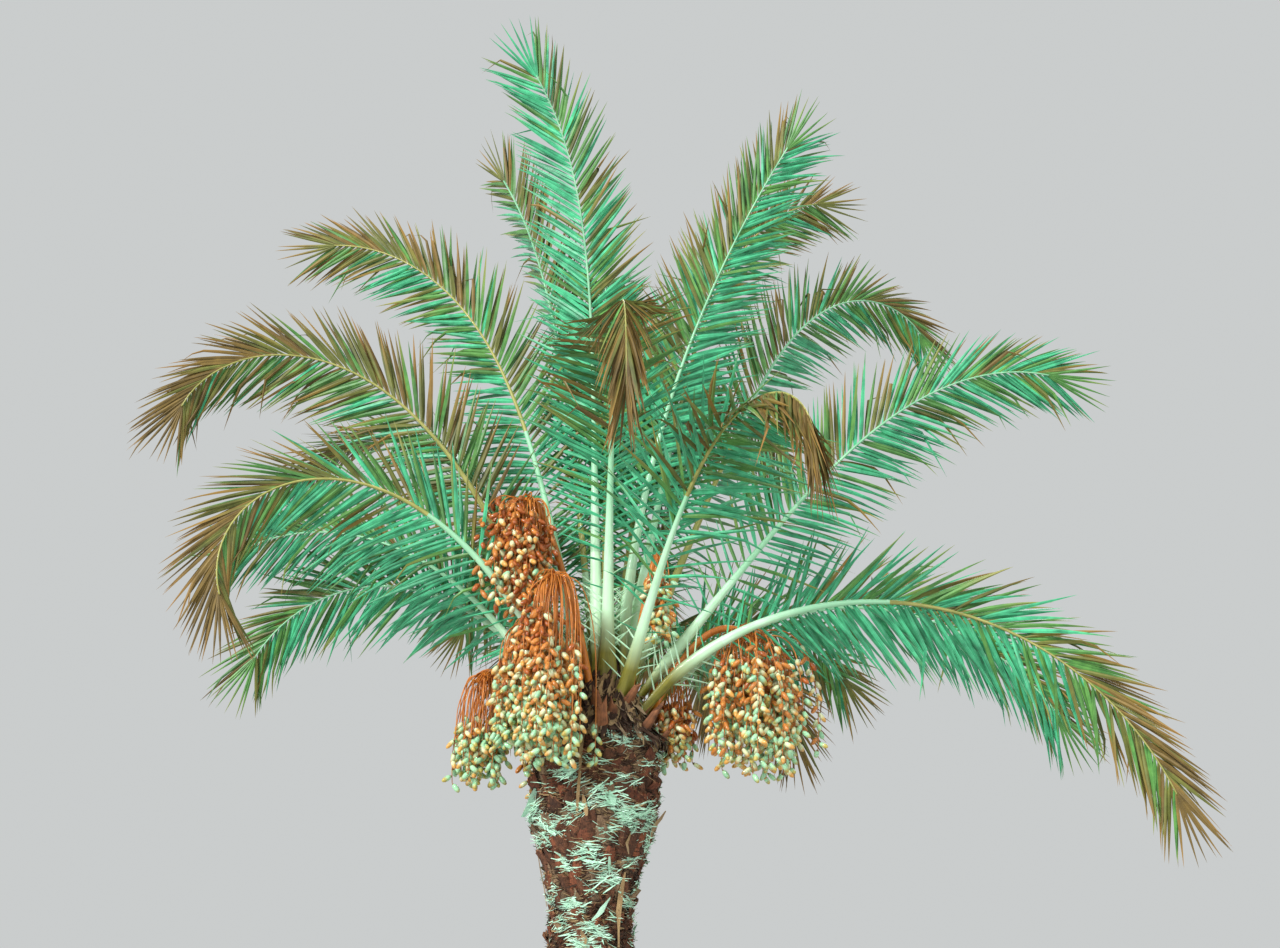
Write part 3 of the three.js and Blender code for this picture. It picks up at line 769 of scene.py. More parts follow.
    def standing_flaps(self) -> Array:
        """Makes the flaps of sheath that stand off under the crown.

        Returns:
            Their corners.
        """
        rng = self.rng
        count = self.flaps
        return self.strip(
            rng.uniform(0, 2 * math.pi, count),
            rng.uniform(2300, 3560, count),
            math.pi / 2 + rng.normal(0, 0.4, count),
            rng.uniform(80, 150, count),
            rng.uniform(16, 34, count),
            rng.uniform(-2, 6, count),
            rng.uniform(12, 36, count),
        )

    def caught_leaflets(self) -> Array:
        """Makes the dry leaflets that hang caught on the trunk.

        Returns:
            Their corners.
        """
        rng = self.rng
        count = self.caught
        return self.strip(
            4.5 + np.arange(count) * 2.4,
            np.linspace(3350, 2700, count),
            math.pi / 2 + rng.normal(0, 0.1, count),
            rng.uniform(330, 430, count),
            rng.uniform(20, 26, count),
            rng.uniform(8, 12, count),
            rng.uniform(4, 10, count),
        )

    def upright_fibre(self) -> tuple[Array, Array]:
        """Makes the fibre that stands between the stalks at the heart.

        Returns:
            Corners of the strips, and the numbers of their tints.
        """
        rng = self.rng
        count = self.upright_strips
        height = rng.uniform(3545, 3800, count)
        strips = self.strip(
            rng.uniform(0, 2 * math.pi, count),
            height,
            math.pi / 2 + rng.normal(0, 0.35, count),
            rng.uniform(70, 190, count),
            rng.choice([4, 10, 24, 44], count, p=[0.3, 0.3, 0.25, 0.15]),
            rng.uniform(-6, 30, count),
            rng.uniform(2, 30, count),
        )
        return strips, len(self.upright_steps) - np.digitize(rng.random(count), self.upright_steps)

    def cut_stalks(self) -> tuple[Batch, Batch]:
        """Makes the stubs of stalks sawn off round the crown's foot.

        Returns:
            The stubs, and their cut ends.
        """
        rng = self.rng
        stubs, ends = Batch(), Batch()
        sides, rings = self.stub_grid
        turns = turns_round(sides)
        for order in range(self.stubs):
            bearing = order * GOLDEN_TURN + rng.uniform(-8, 8)
            foot = 3500 + 175 * order / self.stubs + rng.uniform(-12, 12)
            climb = math.radians(rng.uniform(38, 64))
            length = rng.uniform(90, 200)
            way = polar(bearing, math.cos(climb), math.sin(climb))
            side = polar(bearing - 90, 1, 0)
            start = self.place(math.radians(bearing), self.surface(foot) - 46, foot)
            face = np.cross(side, way)
            # Broad at the foot, keeled below and hollowed above, narrower where it was sawn off askew.
            run = np.linspace(0, 1, rings)[:, None]
            middle = start + way * run * length + UP * (14 * run**2)
            half = lerp(rng.uniform(40, 54), rng.uniform(8, 26), run**0.8)
            thick = lerp(20, rng.uniform(8, 13), run)
            across = half * np.cos(turns)
            over = thick * np.where(np.sin(turns) > 0, 0.7, 1.15) * np.sin(turns) + 9 * np.cos(turns) ** 2
            ring = middle[:, None] + scaled(side, across) + scaled(face, over)
            ring[-1] += way * (rng.uniform(-40, 40) * np.cos(turns) + rng.normal(0, 9, sides))[:, None]
            lay = np.stack(np.broadcast_arrays(turns * 20, run * length), -1)
            stubs.add(ring.reshape(1, -1, 3), [grid_faces(rings, sides, True)], lay.reshape(1, -1, 2))
            self.sawn_end(ends, ring[-1], way, 4, 0.5)
        return stubs, ends

    def build(self) -> None:
        """Builds the trunk's pieces."""
        set_piece("trunk_fibrous_core", self.core(), FIBRE_DARK, ["trunk"], True)
        shells, ends = self.boots()
        set_pieces("trunk_boots", shells, ["trunk"], True)
        set_piece("trunk_boot_ends", ends, BOOT_CUT, ["trunk"], False)
        set_pieces("trunk_sheaths", self.torn_sheaths(), ["trunk"], False)
        stubs, cuts = self.cut_stalks()
        set_piece("cut_stalks", stubs, STALK_DRY, ["trunk"], True)
        set_piece("cut_stalk_ends", cuts, BOOT_CUT, ["trunk"], False)


# ---- Fronds ----


class LeafTint(Enum):
    """The finishes that leaflets are dealt, from the greenest, which is painted green floodlight, to the
    driest; the browner ones are partly drying and partly painted shade.
    """

    SEA = SEA_LEAF_FLOODLIT
    FRESH = FRESH_LEAF
    OLIVE = OLIVE_LEAF
    OCHRE = OCHRE_LEAF


class RibPart(Enum):
    """The finishes of a rib, from its foot to its tip."""

    STALK = STALK_RIND
    PALE = RIB_PALE
    WAXY = RIB_WAXY
    DRYING = RIB_DRYING


# The crown's sizes as the solids have them.
SPINE_STEPS = 60  # lengths that a rib is worked out in
CROWN_BASE = 3600
FOOT_RADIUS = 235  # distance of a foot from the axis at the crown's base
FOOT_INSET = 0.5  # how much nearer it is for each millimetre higher
HEART_RADIUS = 236
BARE_STALK = 0.13  # part of a rib without leaflets
SOURCE_LEAFLETS = 17  # teeth along one edge of a solid blade

LEAF_STEPS = (0.38, 0.58, 0.8)  # rank, from drying and painted shade together, at which a leaflet turns from the painted floodlit sea green to fresh green, olive and ochre


@dataclass
class Frond:
    """One frond: a curved rib with two rows of folded leaflets and spines on its stalk.

    Attributes:
        name: its name in the frame.
        number: its place in the table, which seeds it.
        bearing: the way it leans, in degrees.
        foot: height of its foot over the crown's base.
        rise: climb of the rib at its foot, in degrees.
        tip_rise: climb at its tip.
        length: length of the rib.
        curl: how late the rib bends.
        roll: turn of the blade about the rib at its foot.
        tip_roll: turn at its tip.
        limp: how far its last leaflets hang.
        dry_foot: how dry the lowest leaflets are, from 0 to 1; low values deal more of the painted floodlit sea
            green.
        dry_tip: how dry they are at the tip.
        ruffle: how unevenly its leaflets stand.
        leaflet_length: length of its longest leaflets.
    """

    name: str
    number: int
    bearing: float
    foot: float
    rise: float
    tip_rise: float
    length: float
    curl: float
    roll: float
    tip_roll: float
    limp: float
    dry_foot: float
    dry_tip: float
    ruffle: float = 0.5
    leaflet_length: float = 500

    leaflet_width: float = 28
    leaflet_spacing: float = 21
    leaflet_lift: float = 20  # degrees out of the blade
    leaflet_sag: float = 0.16
    lean_foot: float = 64  # degrees between rib and leaflet
    lean_tip: float = 28
    lean_ease: float = 0.75
    rib_ends: tuple[float, float] = (0.17, 0.45)  # where the stalk and the middle length end
    rib_sides: int = 10
    rib_halves: tuple[float, float] = (0.42, 0.62)  # thickness above and below the middle, in shares
    rib_rings: tuple[int, int, int] = (16, 14, 30)  # in each length
    dry_middle: float = 0.3  # dryness at the foot from which the middle length is yellowed
    dry_outer: float = 0.6  # dryness at the tip above which the outer length is
    stalk_half_width: float = 40
    tip_half_width: float = 4
    stalk_thickness: float = 40
    tip_thickness: float = 12
    flare: tuple[float, float] = (0.25, 260)  # how much wider the foot is, and over what length
    clasp_drop: float = 200
    clasp: tuple[float, float] = (56, 22)  # half width and thickness at the base's lower end
    spine_spacing: float = 40
    upper_row_shade: float = 0.13  # how much browner the upper row is: painted shade, as it faces away from the green light from below
    snapped: float = 0.07  # share of leaflets
    last_leaflets: int = 6  # which run on past the rib
    last_width: float = 17
    rng: np.random.Generator = field(init=False)

    def __post_init__(self) -> None:
        """Lays out the rib's points and starts the frond's own random draws."""
        self.rng = np.random.default_rng(1000 + self.number)
        self.bare = self.length * BARE_STALK
        middles = (np.arange(SPINE_STEPS) + 0.5) / SPINE_STEPS
        steps = self.heading(middles) * self.length / SPINE_STEPS
        start = polar(self.bearing, FOOT_RADIUS - FOOT_INSET * self.foot, CROWN_BASE + self.foot)
        self.points = np.concatenate([start[None], start + np.cumsum(steps, 0)])

    def heading(self, part: Array) -> Array:
        """Directions of the rib at parts of its length."""
        climb = np.radians(lerp(self.rise, self.tip_rise, part**self.curl))
        return polar(self.bearing, np.cos(climb), np.sin(climb))

    def axes(self, station: Array) -> tuple[Array, Array, Array, Array]:
        """Finds the rib's points and directions.

        Args:
            station: distances along the rib.

        Returns:
            Points, directions along the rib, across the blade and out of its upper face.
        """
        part = np.clip(station / self.length, 0, 1)
        place = part * SPINE_STEPS
        knots = np.arange(SPINE_STEPS + 1)
        point = np.stack([np.interp(place, knots, self.points[:, i]) for i in range(3)], -1)
        along = self.heading(part)
        point = point + scaled(along, station - part * self.length)
        across = polar(self.bearing - 90, 1, 0)
        up = np.cross(across, along)
        untwisted = np.clip(station / self.bare, 0, 1)
        turn = np.radians(lerp(self.roll, self.tip_roll, part)) * untwisted * untwisted * (3 - 2 * untwisted)
        side = scaled(across, np.cos(turn)) + scaled(up, np.sin(turn))
        face = scaled(up, np.cos(turn)) - scaled(across, np.sin(turn))
        return point, along, side, face

    def half_width(self, station: Array) -> Array:
        """Finds half the rib's width, with a flare where it clasps the trunk.

        Args:
            station: distances along the rib.

        Returns:
            The half widths.
        """
        rest = 1 - np.clip(station / self.length, 0, 1)
        wider, run = self.flare
        flare = 1 + wider * np.clip(1 - station / run, 0, 1) ** 2
        return flare * (self.tip_half_width + (self.stalk_half_width - self.tip_half_width) * rest**2.7)

    def thickness(self, station: Array) -> Array:
        """The rib's thickness."""
        rest = 1 - np.clip(station / self.length, 0, 1)
        return self.tip_thickness + (self.stalk_thickness - self.tip_thickness) * rest**2

    def add_rib(self, batches: dict[RibPart, Batch]) -> None:
        """Adds the rib from its clasping base up, in three lengths of finish.

        Args:
            batches: the batches by finish.
        """
        outer = RibPart.DRYING if self.dry_tip > self.dry_outer else RibPart.WAXY
        middle = RibPart.DRYING if self.dry_foot >= self.dry_middle else RibPart.PALE
        self.add_base(batches[RibPart.STALK])
        parts = (RibPart.STALK, middle, outer)
        for part, start, end, rings in zip(parts, (0, *self.rib_ends), (*self.rib_ends, 1), self.rib_rings):
            self.add_length(batches[part], start, end, rings)

    def add_length(self, batch: Batch, start: float, end: float, rings: int) -> None:
        """Adds a length of rib, closed to a point where the rib ends.

        Args:
            batch: the batch that takes it.
            start: part of the rib at which it starts.
            end: part of the rib at which it ends.
            rings: number of rings along it.
        """
        station = np.linspace(start, end, rings) * self.length
        point, _, side, face = self.axes(station)
        half, thick = self.half_width(station), self.thickness(station)
        ring, lay = self.sections(point, side, face, half, thick, station)
        sides = ring.shape[1]
        faces = [grid_faces(rings, sides, True)]
        corners, lay = ring.reshape(-1, 3), lay.reshape(-1, 2)
        if end == 1:
            faces.append(fan_faces(np.arange(sides) + (rings - 1) * sides, rings * sides))
            corners = np.concatenate([corners, self.axes(np.array([self.length + 12.0]))[0]])
            lay = np.concatenate([lay, [[0, self.length]]])
        batch.add(corners[None], faces, lay[None])

    def sections(
        self, point: Array, side: Array, face: Array, half: Array, thick: Array, station: Array
    ) -> tuple[Array, Array]:
        """Draws the rib's outline at each of its points: flat above, rounded below.

        Args:
            point: middles of the sections.
            side: directions across the blade.
            face: directions out of its upper face.
            half: half widths.
            thick: thicknesses.
            station: distances along the rib.

        Returns:
            Corners as sections x sides x 3, and their places round and along the rib.
        """
        turns = turns_round(self.rib_sides)
        across = half[:, None] * np.cos(turns)
        over = thick[:, None] * np.where(np.sin(turns) > 0, *self.rib_halves) * np.sin(turns)
        ring = point[:, None] + scaled(side[:, None], across) + scaled(face[:, None], over)
        return ring, np.stack(np.broadcast_arrays(turns * 20, station[:, None]), -1)

    def add_base(self, batch: Batch) -> None:
        """Adds the widening base that clasps the heart of the crown below the rib's foot.

        Args:
            batch: the batch that takes it.
        """
        rings = 9
        foot, rise = self.points[0], self.heading(np.array([0.0]))[0]
        low = max(foot[2] - self.clasp_drop, 3606.0 + 30 * noise(self.number * 17))
        heart = HEART_RADIUS - FOOT_INSET * (low - CROWN_BASE)
        start = polar(self.bearing, heart + 6, low)
        middle = foot - rise * 0.45 * np.linalg.norm(foot - start) + polar(self.bearing, 6, 0)
        t = np.linspace(0, 1, rings)[:, None]
        path = (1 - t) ** 2 * start + 2 * t * (1 - t) * middle + t**2 * foot
        along = unit(np.gradient(path, axis=0))
        side = np.broadcast_to(polar(self.bearing - 90, 1, 0), path.shape)
        half = lerp(self.clasp[0], self.half_width(np.array([0.0]))[0], t[:, 0] ** 0.7)
        thick = lerp(self.clasp[1], self.thickness(np.array([0.0]))[0], t[:, 0])
        ring, lay = self.sections(path, side, np.cross(side, along), half, thick, 300 * t[:, 0] - 300)
        batch.add(ring.reshape(1, -1, 3), [grid_faces(rings, ring.shape[1], True)], lay.reshape(1, -1, 2))

    def leaflet_length_at(self, part: Array) -> Array:
        """Full length of a leaflet: spines first, the longest at a quarter, shorter at the tip."""
        return self.leaflet_length * np.minimum(1, 0.2 + 3.6 * part) * (1 - 0.26 * part**3)

    def leaflets(self) -> dict[str, Array]:
        """Lays out the leaflets of both rows.

        Returns:
            Their roots, directions, sizes and places in arrays by name, one entry to a leaflet.
        """
        rng = self.rng
        count = round((self.length - self.bare) / self.leaflet_spacing)
        order = np.tile(np.arange(count), 2)
        hand = np.repeat([1.0, -1.0], count)
        paired = np.where(order % 2 == 0, 0.2, -0.2)
        part = ((order + 0.5 + paired + rng.uniform(-0.15, 0.15, 2 * count)) / count) ** 0.85
        station = self.bare + part * (self.length - self.bare)
        coarse = np.floor(part * SOURCE_LEAFLETS)
        jitter = 7 * (noise(self.number * 97 + coarse * 2 + hand) - 0.5)
        jitter = jitter + self.ruffle * rng.normal(0, 4.2, 2 * count)
        lean = np.radians(lerp(self.lean_foot, self.lean_tip, part**self.lean_ease) + jitter)
        kept = (part > 0.26) | (order % 2 == 0) & (part > 0.07) | (order % 4 == 0)
        hang = self.leaflet_sag + self.limp * part**2
        planes = np.choose(order % 3, [-17.0, 3.0, 22.0]) * (1 - 0.4 * part)
        lift = np.radians(self.leaflet_lift + self.ruffle * (planes + rng.normal(0, 6, 2 * count)))
        point, along, side, face = self.axes(station)
        heading = unit(splayed(along, side, face, lean, lift, hand) - scaled(UP, hang))
        across = square_to(heading, along)
        normal = np.cross(heading, across)
        normal = scaled(normal, np.sign((normal * face).sum(-1)))
        twist = rng.normal(0, 0.28, 2 * count)
        across = scaled(across, np.cos(twist)) + scaled(normal, np.sin(twist))
        size = self.leaflet_length_at(part)
        rows = {
            "root": point + scaled(side, hand * 0.7 * self.half_width(station)),
            "heading": heading,
            "across": across,
            "length": size * rng.uniform(0.84, 1.05, 2 * count),
            "width": self.leaflet_width * np.clip(0.3 + 2.7 * part, 0, 1) * (1 - 0.25 * part),
            "sag": rng.uniform(0.02, 0.16, 2 * count) * (1 - heading[:, 2] ** 2),
            "part": part,
            "order": order,
            "hand": hand,
            "face": face,
        }
        return {name: values[kept] for name, values in rows.items()}

    def dryness_and_light(self, part: Array, order: Array, hand: Array) -> Array:
        """Finds each leaflet's rank, partly drying and partly painted light: by its place on the frond, its
        row, its spray and itself.

        Args:
            part: parts of the leafy length at which they grow.
            order: their numbers in their rows.
            hand: 1 for one row and -1 for the other.

        Returns:
            Their ranks, of drying and painted shade together.
        """
        spray = noise(self.number * 53 + np.floor(order / 4) * 3 + hand)
        # Each leaflet's own random share stands partly for painted light: lit and shaded leaflets alternate
        # along a row.
        own = self.rng.uniform(-0.5, 0.5, len(part))
        # The upper row is made browner as painted shade, turned away from the green light from below.
        upper = hand * np.sin(np.radians(lerp(self.roll, self.tip_roll, part)))
        row = self.upper_row_shade * upper * np.clip(3 * part, 0, 1)
        return lerp(self.dry_foot, self.dry_tip, part**1.4) + 0.25 * (spray - 0.5) + 0.42 * own + row

    def add_leaflets(self, batches: dict[LeafTint, Batch]) -> None:
        """Adds both rows of leaflets, dealt among the tints by how dry they are, a few of them snapped.

        Args:
            batches: the batches by tint.
        """
        rows = self.leaflets()
        rng = self.rng
        count = len(rows["part"])
        kinked = rng.random(count) < self.snapped
        kink_at = np.where(kinked, rng.uniform(0.45, 0.8, count), 1.0)
        fall = np.stack([*(rng.normal(0, 0.5, (2, count))), rng.uniform(-1.6, -0.3, count)], -1)
        bent = unit(rows["heading"] + fall)
        blades, lay = fold_blades(rows, kink_at, bent)
        # The rank mixes real drying with painted light: lit leaflets get the floodlit sea green, shaded ones
        # browner tints.
        dry = self.dryness_and_light(rows["part"], rows["order"], rows["hand"]) + 0.25 * kinked
        deal(batches, np.digitize(dry, LEAF_STEPS), blades, BLADE_FACES, lay)

    def add_tip(self, batches: dict[LeafTint, Batch]) -> None:
        """Adds the few last leaflets that run on past the rib.

        Args:
            batches: the batches by tint.
        """
        count = self.last_leaflets
        aside = np.linspace(-20, 20, count) + self.rng.uniform(-3, 3, count)
        station = np.full(count, self.length - 8)
        point, along, side, face = self.axes(station)
        turn = np.radians(aside)
        heading = unit(scaled(along, np.cos(turn)) + scaled(side, np.sin(turn)) - UP * 0.05)
        rows = {
            "root": point,
            "heading": heading,
            "across": square_to(heading, side),
            "length": 0.75 * self.leaflet_length * self.rng.uniform(0.88, 1.0, count),
            "width": np.full(count, self.last_width),
            "sag": np.zeros(count),
            "face": face,
        }
        blades, lay = fold_blades(rows, np.ones(count), heading)
        deal(batches, np.full(count, np.digitize(self.dry_tip, LEAF_STEPS)), blades, BLADE_FACES, lay)

    def add_spines(self, batch: Batch) -> None:
        """Adds the stiff spines on both edges of the bare stalk.

        Args:
            batch: the batch that takes them.
        """
        rng = self.rng
        start = 0.22 * self.bare
        count = max(int((self.bare - start) / self.spine_spacing), 2)
        station = np.tile(start + (np.arange(count) + 0.5) / count * (self.bare - start), 2)
        hand = np.repeat([1.0, -1.0], count)
        station = station + rng.uniform(-10, 10, 2 * count)
        point, along, side, face = self.axes(station)
        lean = np.radians(rng.uniform(48, 66, 2 * count))
        lift = np.radians(rng.uniform(-5, 40, 2 * count))
        heading = unit(splayed(along, side, face, lean, lift, hand))
        rows = {
            "root": point + scaled(side, hand * 0.75 * self.half_width(station)),
            "heading": heading,
            "across": square_to(heading, along),
            "length": rng.uniform(90, 210, 2 * count),
            "width": rng.uniform(7, 12, 2 * count),
            "sag": np.zeros(2 * count),
            "face": face,
        }
        blades, lay = fold_blades(rows, np.ones(2 * count), heading)
        batch.add(blades, BLADE_FACES, lay)


def splayed(along: Array, side: Array, face: Array, lean: Array, lift: Array, hand: Array) -> Array:
    """Directions that lean from the rib to either hand and lift out of the frond's face, in radians."""
    level = scaled(along, np.cos(lean)) + scaled(side, hand * np.cos(lift) * np.sin(lean))
    return level + scaled(face, np.sin(lift) * np.sin(lean))


# A blade's stations along its length, its widths there, and the rise of each half from the fold.
BLADE_STATIONS = np.array([0.0, 0.05, 0.15, 0.3, 0.48, 0.66, 0.82, 0.93])
BLADE_WIDTHS = np.array([0.35, 0.62, 0.92, 1.0, 0.9, 0.66, 0.37, 0.16])
BLADE_FOLD = math.radians(28)
BLADE_END = 3 * len(BLADE_STATIONS)  # the corner at its point
BLADE_FACES = [
    grid_faces(len(BLADE_STATIONS), 3, False),
    np.array([[BLADE_END - 3, BLADE_END - 2, BLADE_END], [BLADE_END - 2, BLADE_END - 1, BLADE_END]]),
]


def fold_blades(rows: dict[str, Array], kink_at: Array, bent: Array) -> tuple[Array, Array]:
    """Makes blades folded along their middle into a shallow V, narrowing to a point.

    Args:
        rows: root, heading, across, length, width, sag and face of each blade.
        kink_at: part of its length at which each is bent.
        bent: its direction beyond the bend.

    Returns:
        Corners of every blade, and their places across and along it.
    """
    part = np.append(BLADE_STATIONS, 1.0)
    length = rows["length"][:, None]
    straight = np.minimum(part, kink_at[:, None])
    beyond = part - straight
    middle = rows["root"][:, None] + scaled(rows["heading"][:, None], length * straight)
    middle = middle + scaled(bent[:, None], length * beyond)
    middle[..., 2] -= length * rows["sag"][:, None] * part**2
    normal = unit(np.cross(rows["heading"], rows["across"]))
    normal = scaled(normal, np.sign((normal * rows["face"]).sum(-1) + 1e-9))
    half = 0.5 * rows["width"][:, None] * BLADE_WIDTHS
    aside = scaled(rows["across"][:, None], half * math.cos(BLADE_FOLD))
    raised = scaled(normal[:, None], half * math.sin(BLADE_FOLD))
    body = middle[:, :-1]
    strip = np.stack([body - aside + raised, body, body + aside + raised], 2)
    corners = np.concatenate([strip.reshape(len(strip), -1, 3), middle[:, -1:]], 1)
    run = length * part
    across = np.stack([-half, 0 * half, half], 2).reshape(len(strip), -1)
    along = np.repeat(run[:, :-1], 3, axis=1)
    lay = np.stack([np.append(across, 0 * run[:, -1:], 1), np.append(along, run[:, -1:], 1)], -1)
    return corners, lay


# Bearing, foot, rise, tip rise, length, curl, roll, tip roll and limp as the solids have them, then how dry
# the frond is at its foot and at its tip, and for some how uneven and how long their leaflets are.
FRONDS = {
    "left_1": (169, 246, 78, 4, 3115, 3.1, -75, -75, 0, 0.2, 0.75),
    "left_2": (188, 180, 64, -67, 3060, 3.1, -70, -72, 0.1, 0.46, 0.82),
    "left_3": (204, 140, 55, -108, 2640, 2.3, -60, -95, 0.15, 0.12, 0.9),
    "left_4": (171, 54, 58, -21, 2150, 1.8, -70, -68, 0, 0.15, 0.4, 0.9),
    "left_5": (162, 97, 53, -57, 2190, 1.7, -75, -60, 0, 0.2, 0.5, 0.9),
    "left_6": (126, 115, 58, -38, 1590, 2.3, -30, -50, 0, 0.3, 0.6, 0.9),
    "centre_1": (206, 360, 89, 57, 3260, 4.5, -62, -58, 0, 0.2, 0.35),
    "centre_2": (274, 300, 81, -107, 2840, 2.3, 0, -30, 1.1, 0.2, 1.0, 0.6),
    "centre_3": (302, 147, 59, -86, 2350, 3.1, 30, 20, 1.6, 0.1, 0.98, 1.6, 570),
    "centre_4": (355, 310, 88, 59, 3040, 0.9, 70, 72, 0, 0.2, 0.45, 1),
    "centre_5": (25, 284, 78, 18, 3240, 4.4, 85, 92, 0, 0.2, 0.75, 0.7),
    "centre_6": (142, 320, 83, 58, 3050, 3.0, -50, -70, 0, 0.35, 0.6),
    "right_1": (30, 215, 66, -52, 3450, 5.5, 80, 75, 0.1, 0.3, 0.55),
    "right_2": (56, 200, 68, -20, 2650, 3.0, 50, 70, 0, 0.5, 0.75, 0.8),
    "right_3": (0, 160, 51.5, -13, 2905, 3.9, 75, 68, 0, 0.25, 0.42),
    "right_4": (347, 90, 52, -68, 3100, 0.9, 70, 84, 0.1, 0.05, 0.85, 1.15),
    "right_5": (15, 70, 54, -52, 2650, 1.1, 70, 64, 0, 0.2, 0.5, 1),
    "right_6": (38, 70, 56, -40, 1700, 1.4, 50, 60, 0, 0.3, 0.6, 1),
    "right_7": (45, 20, 52, -80, 1540, 1.9, 20, 40, 0.4, 0.5, 0.95, 0.9),
    "back_1": (70, 260, 74, 10, 2700, 3.0, 0, 0, 0, 0.3, 0.5),
    "back_2": (92, 330, 80, 35, 2800, 3.0, 0, 0, 0, 0.3, 0.5),
    "back_3": (112, 170, 62, -50, 2700, 2.2, 0, 0, 0, 0.3, 0.8, 0.8),
    "back_4": (84, 120, 58, -60, 2600, 2.0, 0, 0, 0.2, 0.3, 0.8),
    "back_5": (146, 190, 66, -30, 2800, 2.4, 0, 0, 0, 0.3, 0.7, 0.8),
    "back_6": (72, 60, 52, -55, 2100, 1.8, 0, 0, 0, 0.35, 0.8),
    "back_7": (108, 50, 50, -50, 2100, 1.8, 0, 0, 0.2, 0.35, 0.8, 0.8),
}


@dataclass
class Crown:
    """All the fronds, joined by kind."""

    fronds: list[Frond] = field(default_factory=lambda: from_table(Frond, FRONDS))

    def build(self) -> None:
        """Builds the crown's pieces."""
        ribs = {part: Batch() for part in RibPart}
        leaves = {tint: Batch() for tint in LeafTint}
        spines = Batch()
        for frond in self.fronds:
            frond.add_rib(ribs)
            frond.add_leaflets(leaves)
            frond.add_tip(leaves)
            frond.add_spines(spines)
        nodes = [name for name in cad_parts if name.startswith("frond_")]
        set_pieces("frond_ribs", ribs, nodes, True)
        set_pieces("frond_leaflets", leaves, nodes, False)
        set_piece("frond_spines", spines, RIB_PALE, nodes, False)


# ---- Fruit ----


class DateTint(Enum):
    """The finishes that dates are dealt, from the ripest to the greenest; the cream and mint ones are painted
    floodlight.
    """

    RUST = DATE_RUST
    AMBER = DATE_AMBER
    CREAM = DATE_CREAM
    GREEN = DATE_GREEN


# A date's stations along its length, its girths there, and the sides of its skin.
DATE_STATIONS = np.array([0.05, 0.22, 0.5, 0.78, 0.95])
DATE_GIRTHS = np.array([0.5, 0.9, 1.0, 0.86, 0.45])
DATE_SIDES = 7
DATE_STEPS = (-0.74, -0.5, -0.2)  # ripening and painted light together, counted down, at which a date is amber, cream and green


